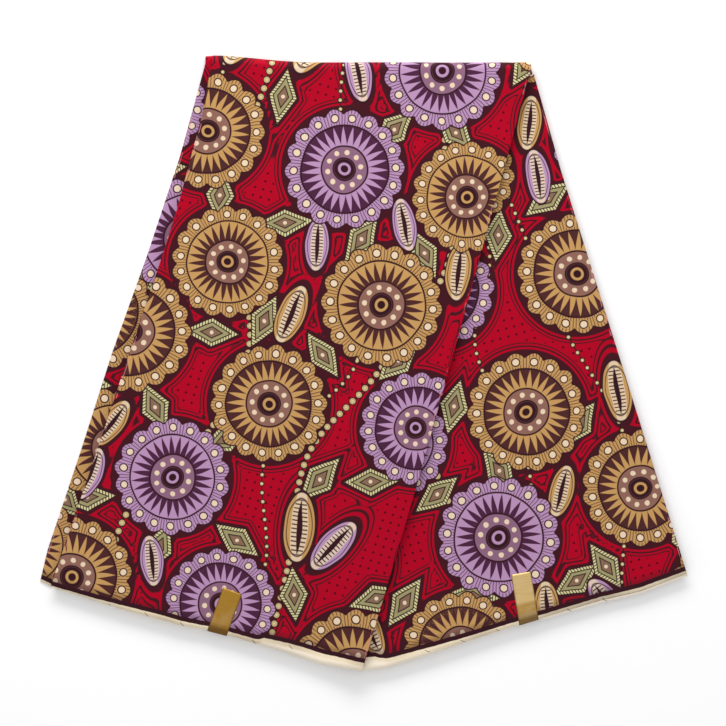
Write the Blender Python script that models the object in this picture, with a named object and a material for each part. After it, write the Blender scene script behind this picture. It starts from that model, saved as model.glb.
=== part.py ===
"""A length of wax-print cotton, folded to and fro into a strip and then once across, as it lies on a table.

Metres, +Z up. X runs to the right and Y towards the fold, the origin is the middle of the outline on the table.
The front half lies on the back half, and both come down from the fold, one to each side. Edges down the halves
run from the fold to the selvedge, and edges across run from left to right.
"""

import math

import bmesh
import bpy
from mathutils import Vector

for old in list(bpy.data.objects):
    bpy.data.objects.remove(old, do_unlink=True)

# Cloth walls, and the clearance between pieces that lie on each other
WALL = 0.0010
UNDER_WALL = 0.0014
GAP = 0.0003
LIP = 0.0012
CHAMFER = 0.0004

# The hidden layers of one half, in folds of two layers
STACK = 0.0072
SINK = 0.0002
FOLDS = 8
FOLD_CREST = 0.0005
FOLD_GROOVE = 0.0005
CREST_MEAN = 0.6
CREST_WAVES = (
    # weight, per row, per share of the run
    (0.25, 2.4, 7.0),
    (0.15, 5.3, 17.0),
)
SIDE_INSET = 0.0018
END_INSET = 0.0032

# Corners of the halves seen from above
FRONT_TOP_LEFT_X = -0.151
FRONT_TOP_RIGHT_X = 0.168
FRONT_LOW_LEFT = Vector((-0.3130, -0.2240))
FRONT_LOW_RIGHT = Vector((-0.0010, -0.3080))
BACK_TOP_LEFT_X = -0.146
BACK_TOP_RIGHT_X = 0.170
BACK_LOW_LEFT = Vector((0.0040, -0.3065))
BACK_LOW_RIGHT = Vector((0.3245, -0.2110))
UNDER_TOP_LEFT_X = -0.158
UNDER_LOW_LEFT = Vector((-0.3240, -0.2190))

# How the edges bow, as shares of their run and metres to its right
FRONT_LEFT_BOW = (
    # share, to the right
    (0.00, 0.0),
    (0.10, -0.0059),
    (0.18, -0.0074),
    (0.27, -0.0095),
    (0.36, -0.0092),
    (0.52, -0.0068),
    (0.74, -0.0044),
    (1.00, 0.0),
)
FRONT_RIGHT_BOW = (
    # share, to the right
    (0.00, 0.0),
    (0.40, -0.0020),
    (0.70, -0.0025),
    (1.00, 0.0),
)
BACK_RIGHT_BOW = (
    # share, to the right
    (0.00, 0.0),
    (0.20, 0.0024),
    (0.60, 0.0010),
    (1.00, 0.0),
)
UNDER_LEFT_BOW = (
    # share, to the right
    (0.00, 0.0),
    (0.18, -0.0038),
    (0.37, -0.0026),
    (0.56, 0.0010),
    (0.75, 0.0010),
    (0.94, 0.0024),
    (1.00, 0.0),
)
FRONT_LOW_BOW = (
    # share, to the right
    (0.00, 0.0),
    (0.26, 0.0034),
    (0.42, 0.0036),
    (0.51, 0.0008),
    (0.57, 0.0008),
    (0.74, 0.0021),
    (0.87, 0.0044),
    (1.00, 0.0),
)
BACK_LOW_BOW = (
    # share, to the right
    (0.00, 0.0),
    (0.07, 0.0045),
    (0.20, 0.0038),
    (0.30, 0.0025),
    (0.45, 0.0008),
    (0.73, 0.0002),
    (0.85, 0.0027),
    (1.00, 0.0),
)
SECOND_LOW_BOW = (
    # share, to the right
    (0.00, 0.0030),
    (0.54, 0.0030),
    (0.73, 0.0034),
    (0.85, 0.0059),
    (1.00, 0.0022),
)

# The fold across: its line rises towards the left end, and its nose is half an ellipse
FOLD_Y = 0.3010
FOLD_RISE = 0.0070
FOLD_RISE_END_X = -0.050
NOSE_DEPTH = 0.0078
NOSE_HEIGHT = 0.0083
NOSE_REACH = 0.040
NOSE_END_DEG = -62.0
NOSE_LEAST = 0.17
BACK_NOSE_SHY = 0.0012

# Left of the back half the front half comes down to the table over this width
RAMP = 0.055

# The front half's lowest layers stand in from its side edges, for what is tucked in there. Both come in over
# the first and the last share of the run
TUCK = 0.0070
TUCK_ENDS = (0.06, 0.04)
UNDERCUT = 0.0090
UNDERCUT_ENDS = (0.06, 0.05)
UNDERCUT_SHARE = 0.25
UNDERCUT_ROOF = 0.01
UNDERCUT_ROWS = 2

# The back half's second layer shows from this share of the selvedge on, on a ledge of its own
SECOND_FIRST_SHARE = 0.541
SECOND_TUCK = 0.0080
SECOND_TUCK_RUN = 0.04
SECOND_DROP = 0.0002
LEDGE = 0.0110
LEDGE_START = 0.50
LEDGE_RUN = 0.07
LEDGE_FIRST_ROW = 13

# The back half's top layer starts just short of the fold, and its hidden corner closes up on the selvedge
BACK_PANEL_START = 0.008
BACK_PANEL_MARGIN = 0.0016
CORNER_RUN = 0.10

# Grids: cells across and along
FRONT_ACROSS = 14
FRONT_ALONG = 18
BACK_ACROSS = 14
BACK_ALONG = 10
BACK_PANEL_ALONG = 12
SECOND_COUNT = 10
NOSE_TURNS = 8
SHARP_DEG = 40.0

# Foil labels folded over the selvedges, width and wall
LABEL_WIDTH = 0.0200
LABEL_WALL = 0.0005
LABEL_RETURN = 0.0018
LABELS = (
    # name, top x, top y, share of the selvedge
    ("front_label", -0.1306, -0.2281, 0.536),
    ("back_label", 0.1581, -0.2104, 0.505),
)

CLOTH_PRINT = ("wax_print_cotton", (0.52, 0.02, 0.05), 0.75, 0.0)
CLOTH_LAYERS = ("folded_cotton_layers", (0.40, 0.10, 0.11), 0.80, 0.0)
LABEL_FOIL = ("gold_foil", (0.63, 0.45, 0.14), 0.35, 0.9)


def smooth(x):
    """0 to 1, level at both ends."""
    x = min(max(x, 0.0), 1.0)
    return x * x * (3 - 2 * x)


def mix(a, b, share):
    return a + (b - a) * share


def table(rows, x):
    """The second column of rows at x of the first, on straight lines."""
    for (x0, y0), (x1, y1) in zip(rows, rows[1:]):
        if x <= x1:
            return mix(y0, y1, (x - x0) / (x1 - x0))
    return rows[-1][1]


def between_ends(t, ends):
    """1 along the middle of a run, coming in from 0 over its first and last shares."""
    return smooth(t / ends[0]) * smooth((1 - t) / ends[1])


def at_height(point, z):
    return Vector((point.x, point.y, z))


def fold_line(x, inset=0.0):
    """The fold at x, seen from above, and inset metres in from it."""
    rise = 1 - smooth((x - UNDER_TOP_LEFT_X) / (FOLD_RISE_END_X - UNDER_TOP_LEFT_X))
    return Vector((x, FOLD_Y + FOLD_RISE * rise - inset))


def edge(start, end, bow=((0.0, 0.0), (1.0, 0.0))):
    """An edge from start to end as a function of 0 to 1, bowed by a table."""
    run = end - start
    right = Vector((run.y, -run.x)).normalized()
    return lambda t: start + run * t + right * table(bow, t)


def fold_edge(x_left, x_right, inset=0.0):
    return lambda s: fold_line(mix(x_left, x_right, s), inset)


def patch(top, low, left, right):
    """A plan surface through four edges: s runs from left to right, t from the fold to the selvedge."""
    corners = top(0.0), top(1.0), low(0.0), low(1.0)

    def at(s, t):
        ruled = top(s) * (1 - t) + low(s) * t + left(t) * (1 - s) + right(t) * s
        flat = (corners[0] * (1 - s) + corners[1] * s) * (1 - t)
        return ruled - flat - (corners[2] * (1 - s) + corners[3] * s) * t

    return at


# Edges that more than one piece follows
front_left = edge(fold_line(FRONT_TOP_LEFT_X, NOSE_DEPTH), FRONT_LOW_LEFT, FRONT_LEFT_BOW)
front_right = edge(fold_line(FRONT_TOP_RIGHT_X, NOSE_DEPTH), FRONT_LOW_RIGHT, FRONT_RIGHT_BOW)
front_low = edge(FRONT_LOW_LEFT, FRONT_LOW_RIGHT, FRONT_LOW_BOW)
back_left = edge(fold_line(BACK_TOP_LEFT_X, NOSE_DEPTH), BACK_LOW_LEFT)
back_right = edge(fold_line(BACK_TOP_RIGHT_X, NOSE_DEPTH), BACK_LOW_RIGHT, BACK_RIGHT_BOW)
back_low = edge(BACK_LOW_LEFT, BACK_LOW_RIGHT, BACK_LOW_BOW)
under_left = edge(fold_line(UNDER_TOP_LEFT_X, NOSE_DEPTH), UNDER_LOW_LEFT, UNDER_LEFT_BOW)

front_plan = patch(
    fold_edge(FRONT_TOP_LEFT_X, FRONT_TOP_RIGHT_X, NOSE_DEPTH), front_low, front_left, front_right
)
back_plan = patch(
    fold_edge(BACK_TOP_LEFT_X, BACK_TOP_RIGHT_X, NOSE_DEPTH), back_low, back_left, back_right
)


def past_back(point):
    """How far a plan point lies to the left of the back half's left edge."""
    start, end = back_left(0.0), back_left(1.0)
    run = (end - start).normalized()
    away = point - start
    return away.dot(Vector((run.y, -run.x)))


def front_floor(point):
    """The underside of the front half: on the back half, and down to the table beyond it."""
    return (STACK - SINK) * (1 - smooth(past_back(point) / RAMP))


def front_ceiling(point):
    """The top of the hidden layers of the front half, a little fuller by the fold."""
    plain = front_floor(point) + SINK + STACK
    full = 2 * NOSE_HEIGHT - WALL - GAP
    from_fold = (fold_line(point.x).y - point.y) / NOSE_REACH
    return mix(plain, full, math.exp(-(from_fold**2)))


def nose_out(z):
    """How far the layers stand out at the fold at height z, inside the panel that goes over them."""
    share = (z - NOSE_HEIGHT) / (NOSE_HEIGHT - WALL - GAP)
    return (NOSE_DEPTH - WALL - GAP) * math.sqrt(max(1 - share * share, NOSE_LEAST**2))


def fold_inset(plain, row, place):
    """How far a row of the layers' edges stands in: a crest on odd rows, no two alike, and a groove on even."""
    if row % 2 == 0:
        return plain + FOLD_GROOVE
    wave = sum(w * math.sin(per_row * row + per_run * place) for w, per_row, per_run in CREST_WAVES)
    return plain - FOLD_CREST * (CREST_MEAN + wave)


def object_of(name, mesh_data, finish):
    """A named object from a bmesh, in its own material."""
    bmesh.ops.recalc_face_normals(mesh_data, faces=mesh_data.faces)
    mesh = bpy.data.meshes.new(name)
    mesh_data.to_mesh(mesh)
    mesh_data.free()
    made = bpy.data.objects.new(name, mesh)
    bpy.context.scene.collection.objects.link(made)
    label, colour, roughness, metallic = finish
    material = bpy.data.materials.get(label) or bpy.data.materials.new(label)
    material.use_nodes = True
    shader = material.node_tree.nodes["Principled BSDF"]
    shader.inputs["Base Color"].default_value = (*colour, 1.0)
    shader.inputs["Roughness"].default_value = roughness
    shader.inputs["Metallic"].default_value = metallic
    mesh.materials.append(material)
    return made


def sheet_loft(name, sections, finish):
    """A closed solid through sections. Each lists its outer points and then its inner ones in the other order,
    so that an outer point and the inner one behind it pair up across each end."""
    made = bmesh.new()
    rings = [[made.verts.new(point) for point in section] for section in sections]
    count = len(rings[0])
    for a, b in zip(rings, rings[1:]):
        for k in range(count):
            made.faces.new([a[k], a[(k + 1) % count], b[(k + 1) % count], b[k]])
    for ring in (rings[0], rings[-1]):
        for k in range(count // 2 - 1):
            made.faces.new([ring[k], ring[k + 1], ring[count - 2 - k], ring[count - 1 - k]])
    return object_of(name, made, finish)


def rim_of(across, along):
    """The grid nodes round a patch, in order."""
    ring = [(i, 0) for i in range(across)] + [(across, j) for j in range(along)]
    return ring + [(i, along) for i in range(across, 0, -1)] + [(0, j) for j in range(along, 0, -1)]


def stack_of_layers(name, plan, across, along, height, rows, inset, nose_shy):
    """A closed stack over a plan patch, flat on the table. height(row, point) is the height of a wall row and
    inset(edge, row, place, point) how far it stands in. The nose at the fold is nose_shy short of its full depth."""
    made = bmesh.new()
    rim = rim_of(across, along)
    rings = []
    for row in range(rows):
        ring = []
        for i, j in rim:
            s, t = i / across, j / along
            point = plan(s, t)
            ways = []
            if i == 0:
                ways.append((plan(1 / across, t), inset("left", row, t, point)))
            if i == across:
                ways.append((plan(1 - 1 / across, t), inset("right", row, t, point)))
            if j == along:
                ways.append((plan(s, 1 - 1 / along), inset("low", row, s, point)))
            moved, z = point.copy(), height(row, point)
            for inner, metres in ways:
                share = metres / (inner - point).length
                moved += (inner - point) * share
                z += (height(row, inner) - height(row, point)) * share
            if j == 0:
                moved.y += nose_out(z) - nose_shy
            ring.append(made.verts.new(at_height(moved, z)))
        rings.append(ring)
    for low_ring, high_ring in zip(rings, rings[1:]):
        for k in range(len(rim)):
            n = (k + 1) % len(rim)
            made.faces.new([low_ring[k], low_ring[n], high_ring[n], high_ring[k]])
    made.faces.new(rings[0])
    nodes = dict(zip(rim, rings[-1]))
    for i in range(1, across):
        for j in range(1, along):
            point = plan(i / across, j / along)
            nodes[i, j] = made.verts.new(at_height(point, height(rows - 1, point)))
    for i in range(across):
        for j in range(along):
            made.faces.new([nodes[i, j], nodes[i, j + 1], nodes[i + 1, j + 1], nodes[i + 1, j]])
    return object_of(name, made, CLOTH_LAYERS)


# The hidden layers of the back half, and the ledge under its second layer
BACK_ROWS = 2 * FOLDS + 1


def back_height(row, point):
    return STACK * row / (BACK_ROWS - 1)


def back_inset(edge_name, row, place, point):
    if edge_name != "low":
        return fold_inset(SIDE_INSET, row, place)
    plain = fold_inset(END_INSET, row, place)
    if row < LEDGE_FIRST_ROW:
        return plain
    return plain + LEDGE * smooth((place - LEDGE_START) / LEDGE_RUN)


back_stack = stack_of_layers(
    "back_layers",
    back_plan,
    BACK_ACROSS,
    BACK_ALONG,
    back_height,
    BACK_ROWS,
    back_inset,
    BACK_NOSE_SHY,
)

# The hidden layers of the front half, with what is under them filled down to the table
FRONT_ROWS = 2 * FOLDS - 2
front_shares = [0.0, UNDERCUT_SHARE - UNDERCUT_ROOF]
front_shares += [
    mix(UNDERCUT_SHARE, 1.0, k / (FRONT_ROWS - UNDERCUT_ROWS - 1))
    for k in range(FRONT_ROWS - UNDERCUT_ROWS)
]


def front_height(row, point):
    if row == 0:
        return 0.0
    return mix(front_floor(point), front_ceiling(point), front_shares[row])


def front_inset(edge_name, row, place, point):
    plain = fold_inset(END_INSET if edge_name == "low" else SIDE_INSET, row, place)
    if row >= UNDERCUT_ROWS:
        return plain
    if edge_name == "low":
        return plain + UNDERCUT * front_floor(point) / STACK
    return plain + UNDERCUT * between_ends(place, UNDERCUT_ENDS)


front_stack = stack_of_layers(
    "folded_layers",
    front_plan,
    FRONT_ACROSS,
    FRONT_ALONG,
    front_height,
    FRONT_ROWS,
    front_inset,
    0.0,
)
back_stack.hide_render = True
back_stack.display_type = "WIRE"
joined = front_stack.modifiers.new("join_back_layers", "BOOLEAN")
joined.operation = "UNION"
joined.object = back_stack


def folded_side(corner, normal, across):
    """Outer and inner points of a folded side edge, from its turned-down lip up to the corner."""
    outer = [
        corner - normal * LIP,
        corner - normal * CHAMFER,
        corner + across * CHAMFER,
    ]
    within = corner + across * WALL - normal * WALL
    inner = [
        corner + across * WALL - normal * LIP,
        within - normal * 0.3 * CHAMFER,
        within + across * 0.3 * CHAMFER,
    ]
    return outer, inner


def panel_section(points, normals, left_folded):
    """A section across a panel from the points of its outer face. Its right side is folded, and its left one
    is either folded or a plain edge."""
    across = (points[-1] - points[0]).normalized()
    right_outer, right_inner = folded_side(points[-1], normals[-1], -across)
    if left_folded:
        left_outer, left_inner = folded_side(points[0], normals[0], across)
    else:
        left_outer, left_inner = [points[0]], [points[0] - normals[0] * WALL]
    middle = list(zip(points, normals))[1:-1]
    outer = left_outer + [p for p, _ in middle] + right_outer[::-1]
    inner = left_inner + [p - n * WALL for p, n in middle] + right_inner[::-1]
    return outer + inner[::-1]


def normal_of(height, point):
    """The upward normal of a height field over the plan."""
    step = 0.004
    x, y = Vector((step, 0.0)), Vector((0.0, step))
    down_x = height(point - x) - height(point + x)
    down_y = height(point - y) - height(point + y)
    return Vector((down_x, down_y, 2 * step)).normalized()


def front_panel_sections():
    """The top layer of the front half, from its selvedge to the fold, over the nose and down to the table."""
    sections = []
    for j in range(FRONT_ALONG, -1, -1):
        plan_points = [front_plan(i / FRONT_ACROSS, j / FRONT_ALONG) for i in range(FRONT_ACROSS + 1)]
        points = [at_height(p, front_ceiling(p) + GAP + WALL) for p in plan_points]
        sections.append(panel_section(points, [normal_of(front_ceiling, p) for p in plan_points], True))
    for k in range(1, NOSE_TURNS + 1):
        angle = math.radians(mix(90.0, NOSE_END_DEG, k / NOSE_TURNS))
        out, up = math.cos(angle), math.sin(angle)
        normal = Vector((0.0, out / NOSE_DEPTH, up / NOSE_HEIGHT)).normalized()
        points = []
        for i in range(FRONT_ACROSS + 1):
            base = front_plan(i / FRONT_ACROSS, 0.0)
            points.append(Vector((base.x, base.y + NOSE_DEPTH * out, NOSE_HEIGHT * (1 + up))))
        sections.append(panel_section(points, [normal] * len(points), True))
    return sections


sheet_loft("front_panel", front_panel_sections(), CLOTH_PRINT)

# The back half's top layer, its left side tucked under the front half
UP = Vector((0.0, 0.0, 1.0))


def tucked_right(t):
    """The back panel's hidden side, which comes out from under the front half at its two ends."""
    down = mix(BACK_PANEL_START, 1.0, t)
    hidden = TUCK * between_ends(down, TUCK_ENDS)
    to_corner = (BACK_LOW_LEFT - FRONT_LOW_RIGHT) * smooth((down - 1 + CORNER_RUN) / CORNER_RUN)
    return front_right(down) - Vector((hidden, 0.0)) + to_corner


panel_plan = patch(
    lambda s: tucked_right(0.0).lerp(back_right(BACK_PANEL_START), s),
    back_low,
    tucked_right,
    lambda t: back_right(mix(BACK_PANEL_START, 1.0, t)),
)


def back_panel_sections():
    """The top layer of the back half. Where it is narrow its points keep clear of the folded side."""
    sections = []
    for j in range(BACK_PANEL_ALONG + 1):
        t = j / BACK_PANEL_ALONG
        margin = BACK_PANEL_MARGIN / (panel_plan(1.0, t) - panel_plan(0.0, t)).length
        shares = [0.0] + [mix(margin, 1 - margin, i / BACK_ACROSS) for i in range(1, BACK_ACROSS)] + [1.0]
        points = [at_height(panel_plan(s, t), STACK + GAP + WALL) for s in shares]
        sections.append(panel_section(points, [UP] * len(points), False))
    return sections


sheet_loft("back_panel", back_panel_sections(), CLOTH_PRINT)


def second_layer_sections():
    """The back half's second layer where it shows past the selvedge, on its ledge."""
    second_low = edge(BACK_LOW_LEFT, BACK_LOW_RIGHT, SECOND_LOW_BOW)
    run = (BACK_LOW_RIGHT - BACK_LOW_LEFT).normalized()
    into = Vector((-run.y, run.x))
    sections = []
    for k in range(SECOND_COUNT + 1):
        share = mix(SECOND_FIRST_SHARE, 1.0, k / SECOND_COUNT)
        shown = second_low(share)
        hidden = END_INSET + SECOND_TUCK * smooth((share - SECOND_FIRST_SHARE) / SECOND_TUCK_RUN)
        outer = [at_height(shown + into * hidden, STACK - SECOND_DROP)]
        outer.append(at_height(shown, STACK - SECOND_DROP))
        sections.append(outer + [p - UP * WALL for p in outer[::-1]])
    return sections


sheet_loft("second_selvedge", second_layer_sections(), CLOTH_PRINT)


def under_layer_sections():
    """The layer that shows past the front half's left fold, from the fold line to its own selvedge."""
    fold_end = [fold_line(UNDER_TOP_LEFT_X), fold_line(FRONT_TOP_LEFT_X) - Vector((GAP, 0.0))]
    pairs = [fold_end, [under_left(0.0), front_left(0.0) - Vector((GAP, 0.0))]]
    for j in range(1, FRONT_ALONG + 1):
        t = j / FRONT_ALONG
        tucked = TUCK * between_ends(t, TUCK_ENDS)
        pairs.append([under_left(t), front_left(t) + Vector((tucked, 0.0))])
    sections = []
    for left, right in pairs:
        lower = [at_height(p, front_floor(p)) for p in (left, left.lerp(right, 0.5), right)]
        sections.append([p + UP * UNDER_WALL for p in lower] + lower[::-1])
    return sections


sheet_loft("left_under_layer", under_layer_sections(), CLOTH_PRINT)


def label_sections(top, selvedge, share, panel_top):
    """A foil strip flat on its panel, folded round the selvedge and back under it."""
    foot, step = selvedge(share), 0.02
    slope = (selvedge(share + step) - selvedge(share - step)).normalized()
    run = (foot - top).normalized()
    square = Vector((-run.y, run.x))
    wide = slope / abs(slope.dot(square))
    high = panel_top(foot) + GAP
    low = high - 2 * GAP - WALL
    path = (
        # metres past the selvedge, height, and the wall's way out there
        (GAP, high, 1.0, 1.0),
        (GAP, low, 1.0, -1.0),
        (-LABEL_RETURN, low, 0.0, -1.0),
    )
    sections = []
    for sign in (-1, 1):
        start = top + square * (sign * LABEL_WIDTH / 2)
        end = foot + wide * (sign * LABEL_WIDTH / 2)
        begin = at_height(start, high)
        inner = [begin] + [at_height(end + run * past, z) for past, z, _, _ in path]
        outer = [begin + UP * LABEL_WALL]
        for past, z, out, up in path:
            outer.append(at_height(end + run * (past + out * LABEL_WALL), z + up * LABEL_WALL))
        sections.append(outer + inner[::-1])
    return sections


panel_tops = {
    "front_label": (front_low, lambda p: front_ceiling(p) + GAP + WALL),
    "back_label": (back_low, lambda p: STACK + GAP + WALL),
}
for label_name, top_x, top_y, low_share in LABELS:
    selvedge_line, top_height = panel_tops[label_name]
    sections_of_label = label_sections(Vector((top_x, top_y)), selvedge_line, low_share, top_height)
    sheet_loft(label_name, sections_of_label, LABEL_FOIL)

for made_object in bpy.data.objects:
    made_object.data.shade_smooth()
    made_object.data.set_sharp_from_angle(angle=math.radians(SHARP_DEG))
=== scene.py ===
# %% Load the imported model
import math

import bmesh
import bpy
import numpy as np
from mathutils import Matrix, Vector


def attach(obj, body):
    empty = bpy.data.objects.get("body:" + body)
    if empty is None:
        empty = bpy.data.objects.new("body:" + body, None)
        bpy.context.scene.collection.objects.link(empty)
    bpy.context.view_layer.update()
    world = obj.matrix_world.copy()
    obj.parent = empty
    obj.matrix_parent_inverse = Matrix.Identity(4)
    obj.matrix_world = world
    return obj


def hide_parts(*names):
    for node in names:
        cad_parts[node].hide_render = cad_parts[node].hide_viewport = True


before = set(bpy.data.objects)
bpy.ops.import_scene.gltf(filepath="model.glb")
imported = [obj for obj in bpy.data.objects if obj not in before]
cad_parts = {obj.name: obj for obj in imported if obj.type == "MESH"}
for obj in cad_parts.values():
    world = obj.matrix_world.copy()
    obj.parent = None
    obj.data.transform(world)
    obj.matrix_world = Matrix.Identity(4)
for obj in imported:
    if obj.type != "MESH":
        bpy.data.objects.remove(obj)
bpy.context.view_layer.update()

print("nodes:", sorted(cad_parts))

# %% [markdown]
# # A folded length of wax print
# Six yards of printed cotton are folded to and fro into a strip, and the strip is folded once more
# across the middle. Its two halves are fanned apart into a V. Nearly all that shows is two flat fields
# of print, so this lesson spends little on form and much on the print: a chart of motifs, and one small
# drawing for each kind.
#
# ## Camera
# The picture was taken from straight above. A long lens far up keeps the edges of the cloth as straight
# as they are in the picture, and the frame is 726 mm wide at a level just above the table.

# %% Camera
CAMERA_HEIGHT = 3.2
FRAME_WIDTH = 0.726
FRAME_LEVEL = 0.012
SENSOR = 36.0

camera_data = bpy.data.cameras.new("camera")
camera_data.sensor_width = SENSOR
camera_data.lens = SENSOR * (CAMERA_HEIGHT - FRAME_LEVEL) / FRAME_WIDTH
camera = bpy.data.objects.new("camera", camera_data)
camera.location = (0.0, 0.0, CAMERA_HEIGHT)
bpy.context.scene.collection.objects.link(camera)
bpy.context.scene.camera = camera
print("lens, mm:", round(camera_data.lens, 1))

# %% [markdown]
# ## Wires
# A print is drawn here with numbers: how far a point is from a line, a rim or a centre. By hand each
# sum would be a Math node. A `Wire` stands for a node's output, and adding or multiplying wires puts in
# the Math node, so a drawing reads like a formula. `Drawing` is a shader node group with named inputs
# and outputs.

# %% Wires and drawings
SOCKETS = {"value": "NodeSocketFloat", "vector": "NodeSocketVector", "colour": "NodeSocketColor"}


def join(value, slot):
    """Puts a wire or a plain number into an input."""
    if isinstance(value, Wire):
        slot.id_data.links.new(value.socket, slot)
    else:
        slot.default_value = value


class Wire:
    """A node's output. Sums and products of wires are Math nodes."""

    def __init__(self, socket):
        self.socket = socket

    def math(self, operation, *others):
        node = self.socket.id_data.nodes.new("ShaderNodeMath")
        node.operation = operation
        for slot, value in zip(node.inputs, (self, *others)):
            join(value, slot)
        return Wire(node.outputs[0])

    def __add__(self, other):
        return self.math("ADD", other)

    def __sub__(self, other):
        return self.math("SUBTRACT", other)

    def __mul__(self, other):
        return self.math("MULTIPLY", other)

    def __truediv__(self, other):
        return self.math("DIVIDE", other)

    def __rsub__(self, other):
        return self * -1.0 + other

    __radd__ = __add__
    __rmul__ = __mul__

    def size(self):
        return self.math("ABSOLUTE")

    def part(self):
        """What is left of it past the whole number below."""
        return self.math("FRACT")

    def wave(self, per_unit, start=0.0):
        return (self * per_unit + start).math("SINE")


def add_node(tree, kind, inputs, **settings):
    node = tree.nodes.new(kind)
    for name, value in settings.items():
        setattr(node, name, value)
    for name, value in inputs.items():
        join(value, node.inputs[name])
    return node


def ramp(value, low, high):
    """0 at low and 1 at high, soft at both; it falls where low is the larger."""
    inputs = {"Value": value, "From Min": low, "From Max": high}
    tree = value.socket.id_data
    return Wire(add_node(tree, "ShaderNodeMapRange", inputs, interpolation_type="SMOOTHSTEP").outputs[0])


def stroke(distance, half_width, soft=0.35):
    """1 on a line and 0 beside it."""
    return ramp(distance, half_width + soft, half_width - soft)


def vector(x, y, z=0.0):
    tree = x.socket.id_data
    return Wire(add_node(tree, "ShaderNodeCombineXYZ", {"X": x, "Y": y, "Z": z}).outputs[0])


def split(wire):
    node = add_node(wire.socket.id_data, "ShaderNodeSeparateXYZ", {"Vector": wire})
    return [Wire(output) for output in node.outputs]


def over(base, top, mask):
    """Colour top on colour base where mask is 1."""
    tree = mask.socket.id_data
    node = add_node(tree, "ShaderNodeMix", {}, data_type="RGBA")
    join(mask, node.inputs[0])
    join(base, node.inputs[6])
    join(top, node.inputs[7])
    return Wire(node.outputs[2])


def over_value(base, top, mask):
    """Number top in place of base where mask is 1."""
    return base + (top - base) * mask


def noise(where, detail=0.0):
    """Noise of about one bump a unit: its value, and two more as a vector's parts."""
    inputs = {"Vector": where, "Scale": 1.0, "Detail": detail}
    node = add_node(where.socket.id_data, "ShaderNodeTexNoise", inputs)
    return Wire(node.outputs[0]), split(Wire(node.outputs[1]))


def from_pin(where):
    """Distance from the nearest of dots in even rows, one a unit."""
    inputs = {"Vector": where, "Scale": 1.0, "Randomness": 0.0}
    node = add_node(where.socket.id_data, "ShaderNodeTexVoronoi", inputs, voronoi_dimensions="2D")
    return Wire(node.outputs["Distance"])


def ink(red, green, blue):
    """A colour as a paint programme writes it, 0 to 255, as the shader takes it."""
    parts = [c / 255 for c in (red, green, blue)]
    return (*[p / 12.92 if p < 0.04045 else ((p + 0.055) / 1.055) ** 2.4 for p in parts], 1.0)


class Drawing:
    """A shader node group with named inputs and outputs."""

    def __init__(self, name, inputs, outputs):
        self.tree = bpy.data.node_groups.new(name, "ShaderNodeTree")
        for side, sockets in (("INPUT", inputs), ("OUTPUT", outputs)):
            for title, kind in sockets.items():
                self.tree.interface.new_socket(title, in_out=side, socket_type=SOCKETS[kind])
        self.start = self.tree.nodes.new("NodeGroupInput")
        self.end = self.tree.nodes.new("NodeGroupOutput")

    def __getitem__(self, title):
        return Wire(self.start.outputs[title])

    def __setitem__(self, title, value):
        join(value, self.end.inputs[title])


def place_drawing(tree, drawing, **inputs):
    """A drawing put into a material, as a function that gives its outputs by name."""
    node = add_node(tree, "ShaderNodeGroup", {}, node_tree=drawing.tree)
    for title, value in inputs.items():
        join(value, node.inputs[title])
    return lambda title: Wire(node.outputs[title])


# %% [markdown]
# ## The inks
# A wax print has few inks: a red ground, a dark maroon that is both line and shade, and four motif
# colours. The cloth itself shows as cream in the dots and along the selvedge.

# %% Inks
RED = ink(168, 0, 32)
DEEP_RED = ink(84, 2, 24)
DARK = ink(50, 20, 28)
TAN = ink(187, 144, 88)
TAN_SHADE = ink(136, 96, 84)
TAN_LINE = ink(74, 38, 38)
LILAC = ink(176, 137, 175)
LILAC_SHADE = ink(134, 95, 120)
LILAC_LINE = ink(72, 34, 60)
CREAM = ink(222, 200, 172)
GREEN = ink(206, 200, 148)
GREEN_SHADE = ink(152, 144, 102)
BROWN = ink(128, 100, 80)
SELVEDGE = ink(238, 221, 191)
# LIT_SELVEDGE is a lighter cream: the second layer's selvedge, and a painted highlight on the outer cream.
LIT_SELVEDGE = ink(250, 238, 220)
GOLD = ink(172, 129, 48)
PALE_GOLD = ink(218, 186, 126)
# DARK_GOLD: brushed streaks, the labels' side edges, and painted shade towards the foot.
DARK_GOLD = ink(96, 66, 28)
BEIGE = ink(188, 164, 118)
PINK = ink(214, 132, 134)

# %% [markdown]
# ## A disc
# Each motif is drawn once, about its own centre and in millimetres of its own. The disc is plain
# geometry in rings: scallops with a dot in each and fine lines between them, rays, dots, and a dark
# middle. The third number of its place is a seed. It bends the drawing a little, as a hand would, and
# turns the rays of half the discs inwards.

# %% Disc drawing
TURN = 2 * math.pi
HAND_DRIFT = 4.0
DISC_RADIUS = 55.0
SCALLOPS = 18
SCALLOP_DEPTH = 5.0
SCALLOP_DOT = (45.8, 2.9)  # distance from the middle, radius
FINE_LINES = 108
RAYS = 27
RAY_RING = (22.0, 38.5)
MIDDLE_DOTS = 10
MIDDLE_DOT = (15.6, 2.3)
DISC_LINES = (39.4, 21.2, 10.2)
EYE = 9.4


def by_hand(place):
    """A motif's place with its lines bent a little, and its seed."""
    x, y, seed = split(place)
    _, (drift_x, drift_y, _) = noise(vector(x * 0.03, y * 0.03, seed * 9.0), 1.0)
    return x + (drift_x - 0.5) * HAND_DRIFT, y + (drift_y - 0.5) * HAND_DRIFT, seed


def length_of(x, y):
    return (x * x + y * y).math("SQRT")


def from_part(turn, count):
    """0 in the middle of each of count equal parts, 0.5 between two of them."""
    return ((turn * count).part() - 0.5).size()


def from_dot(out, turn, count, ring):
    """Distance from the nearest of count dots on a ring."""
    return length_of(out - ring, from_part(turn, count) * out * (TURN / count))


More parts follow.
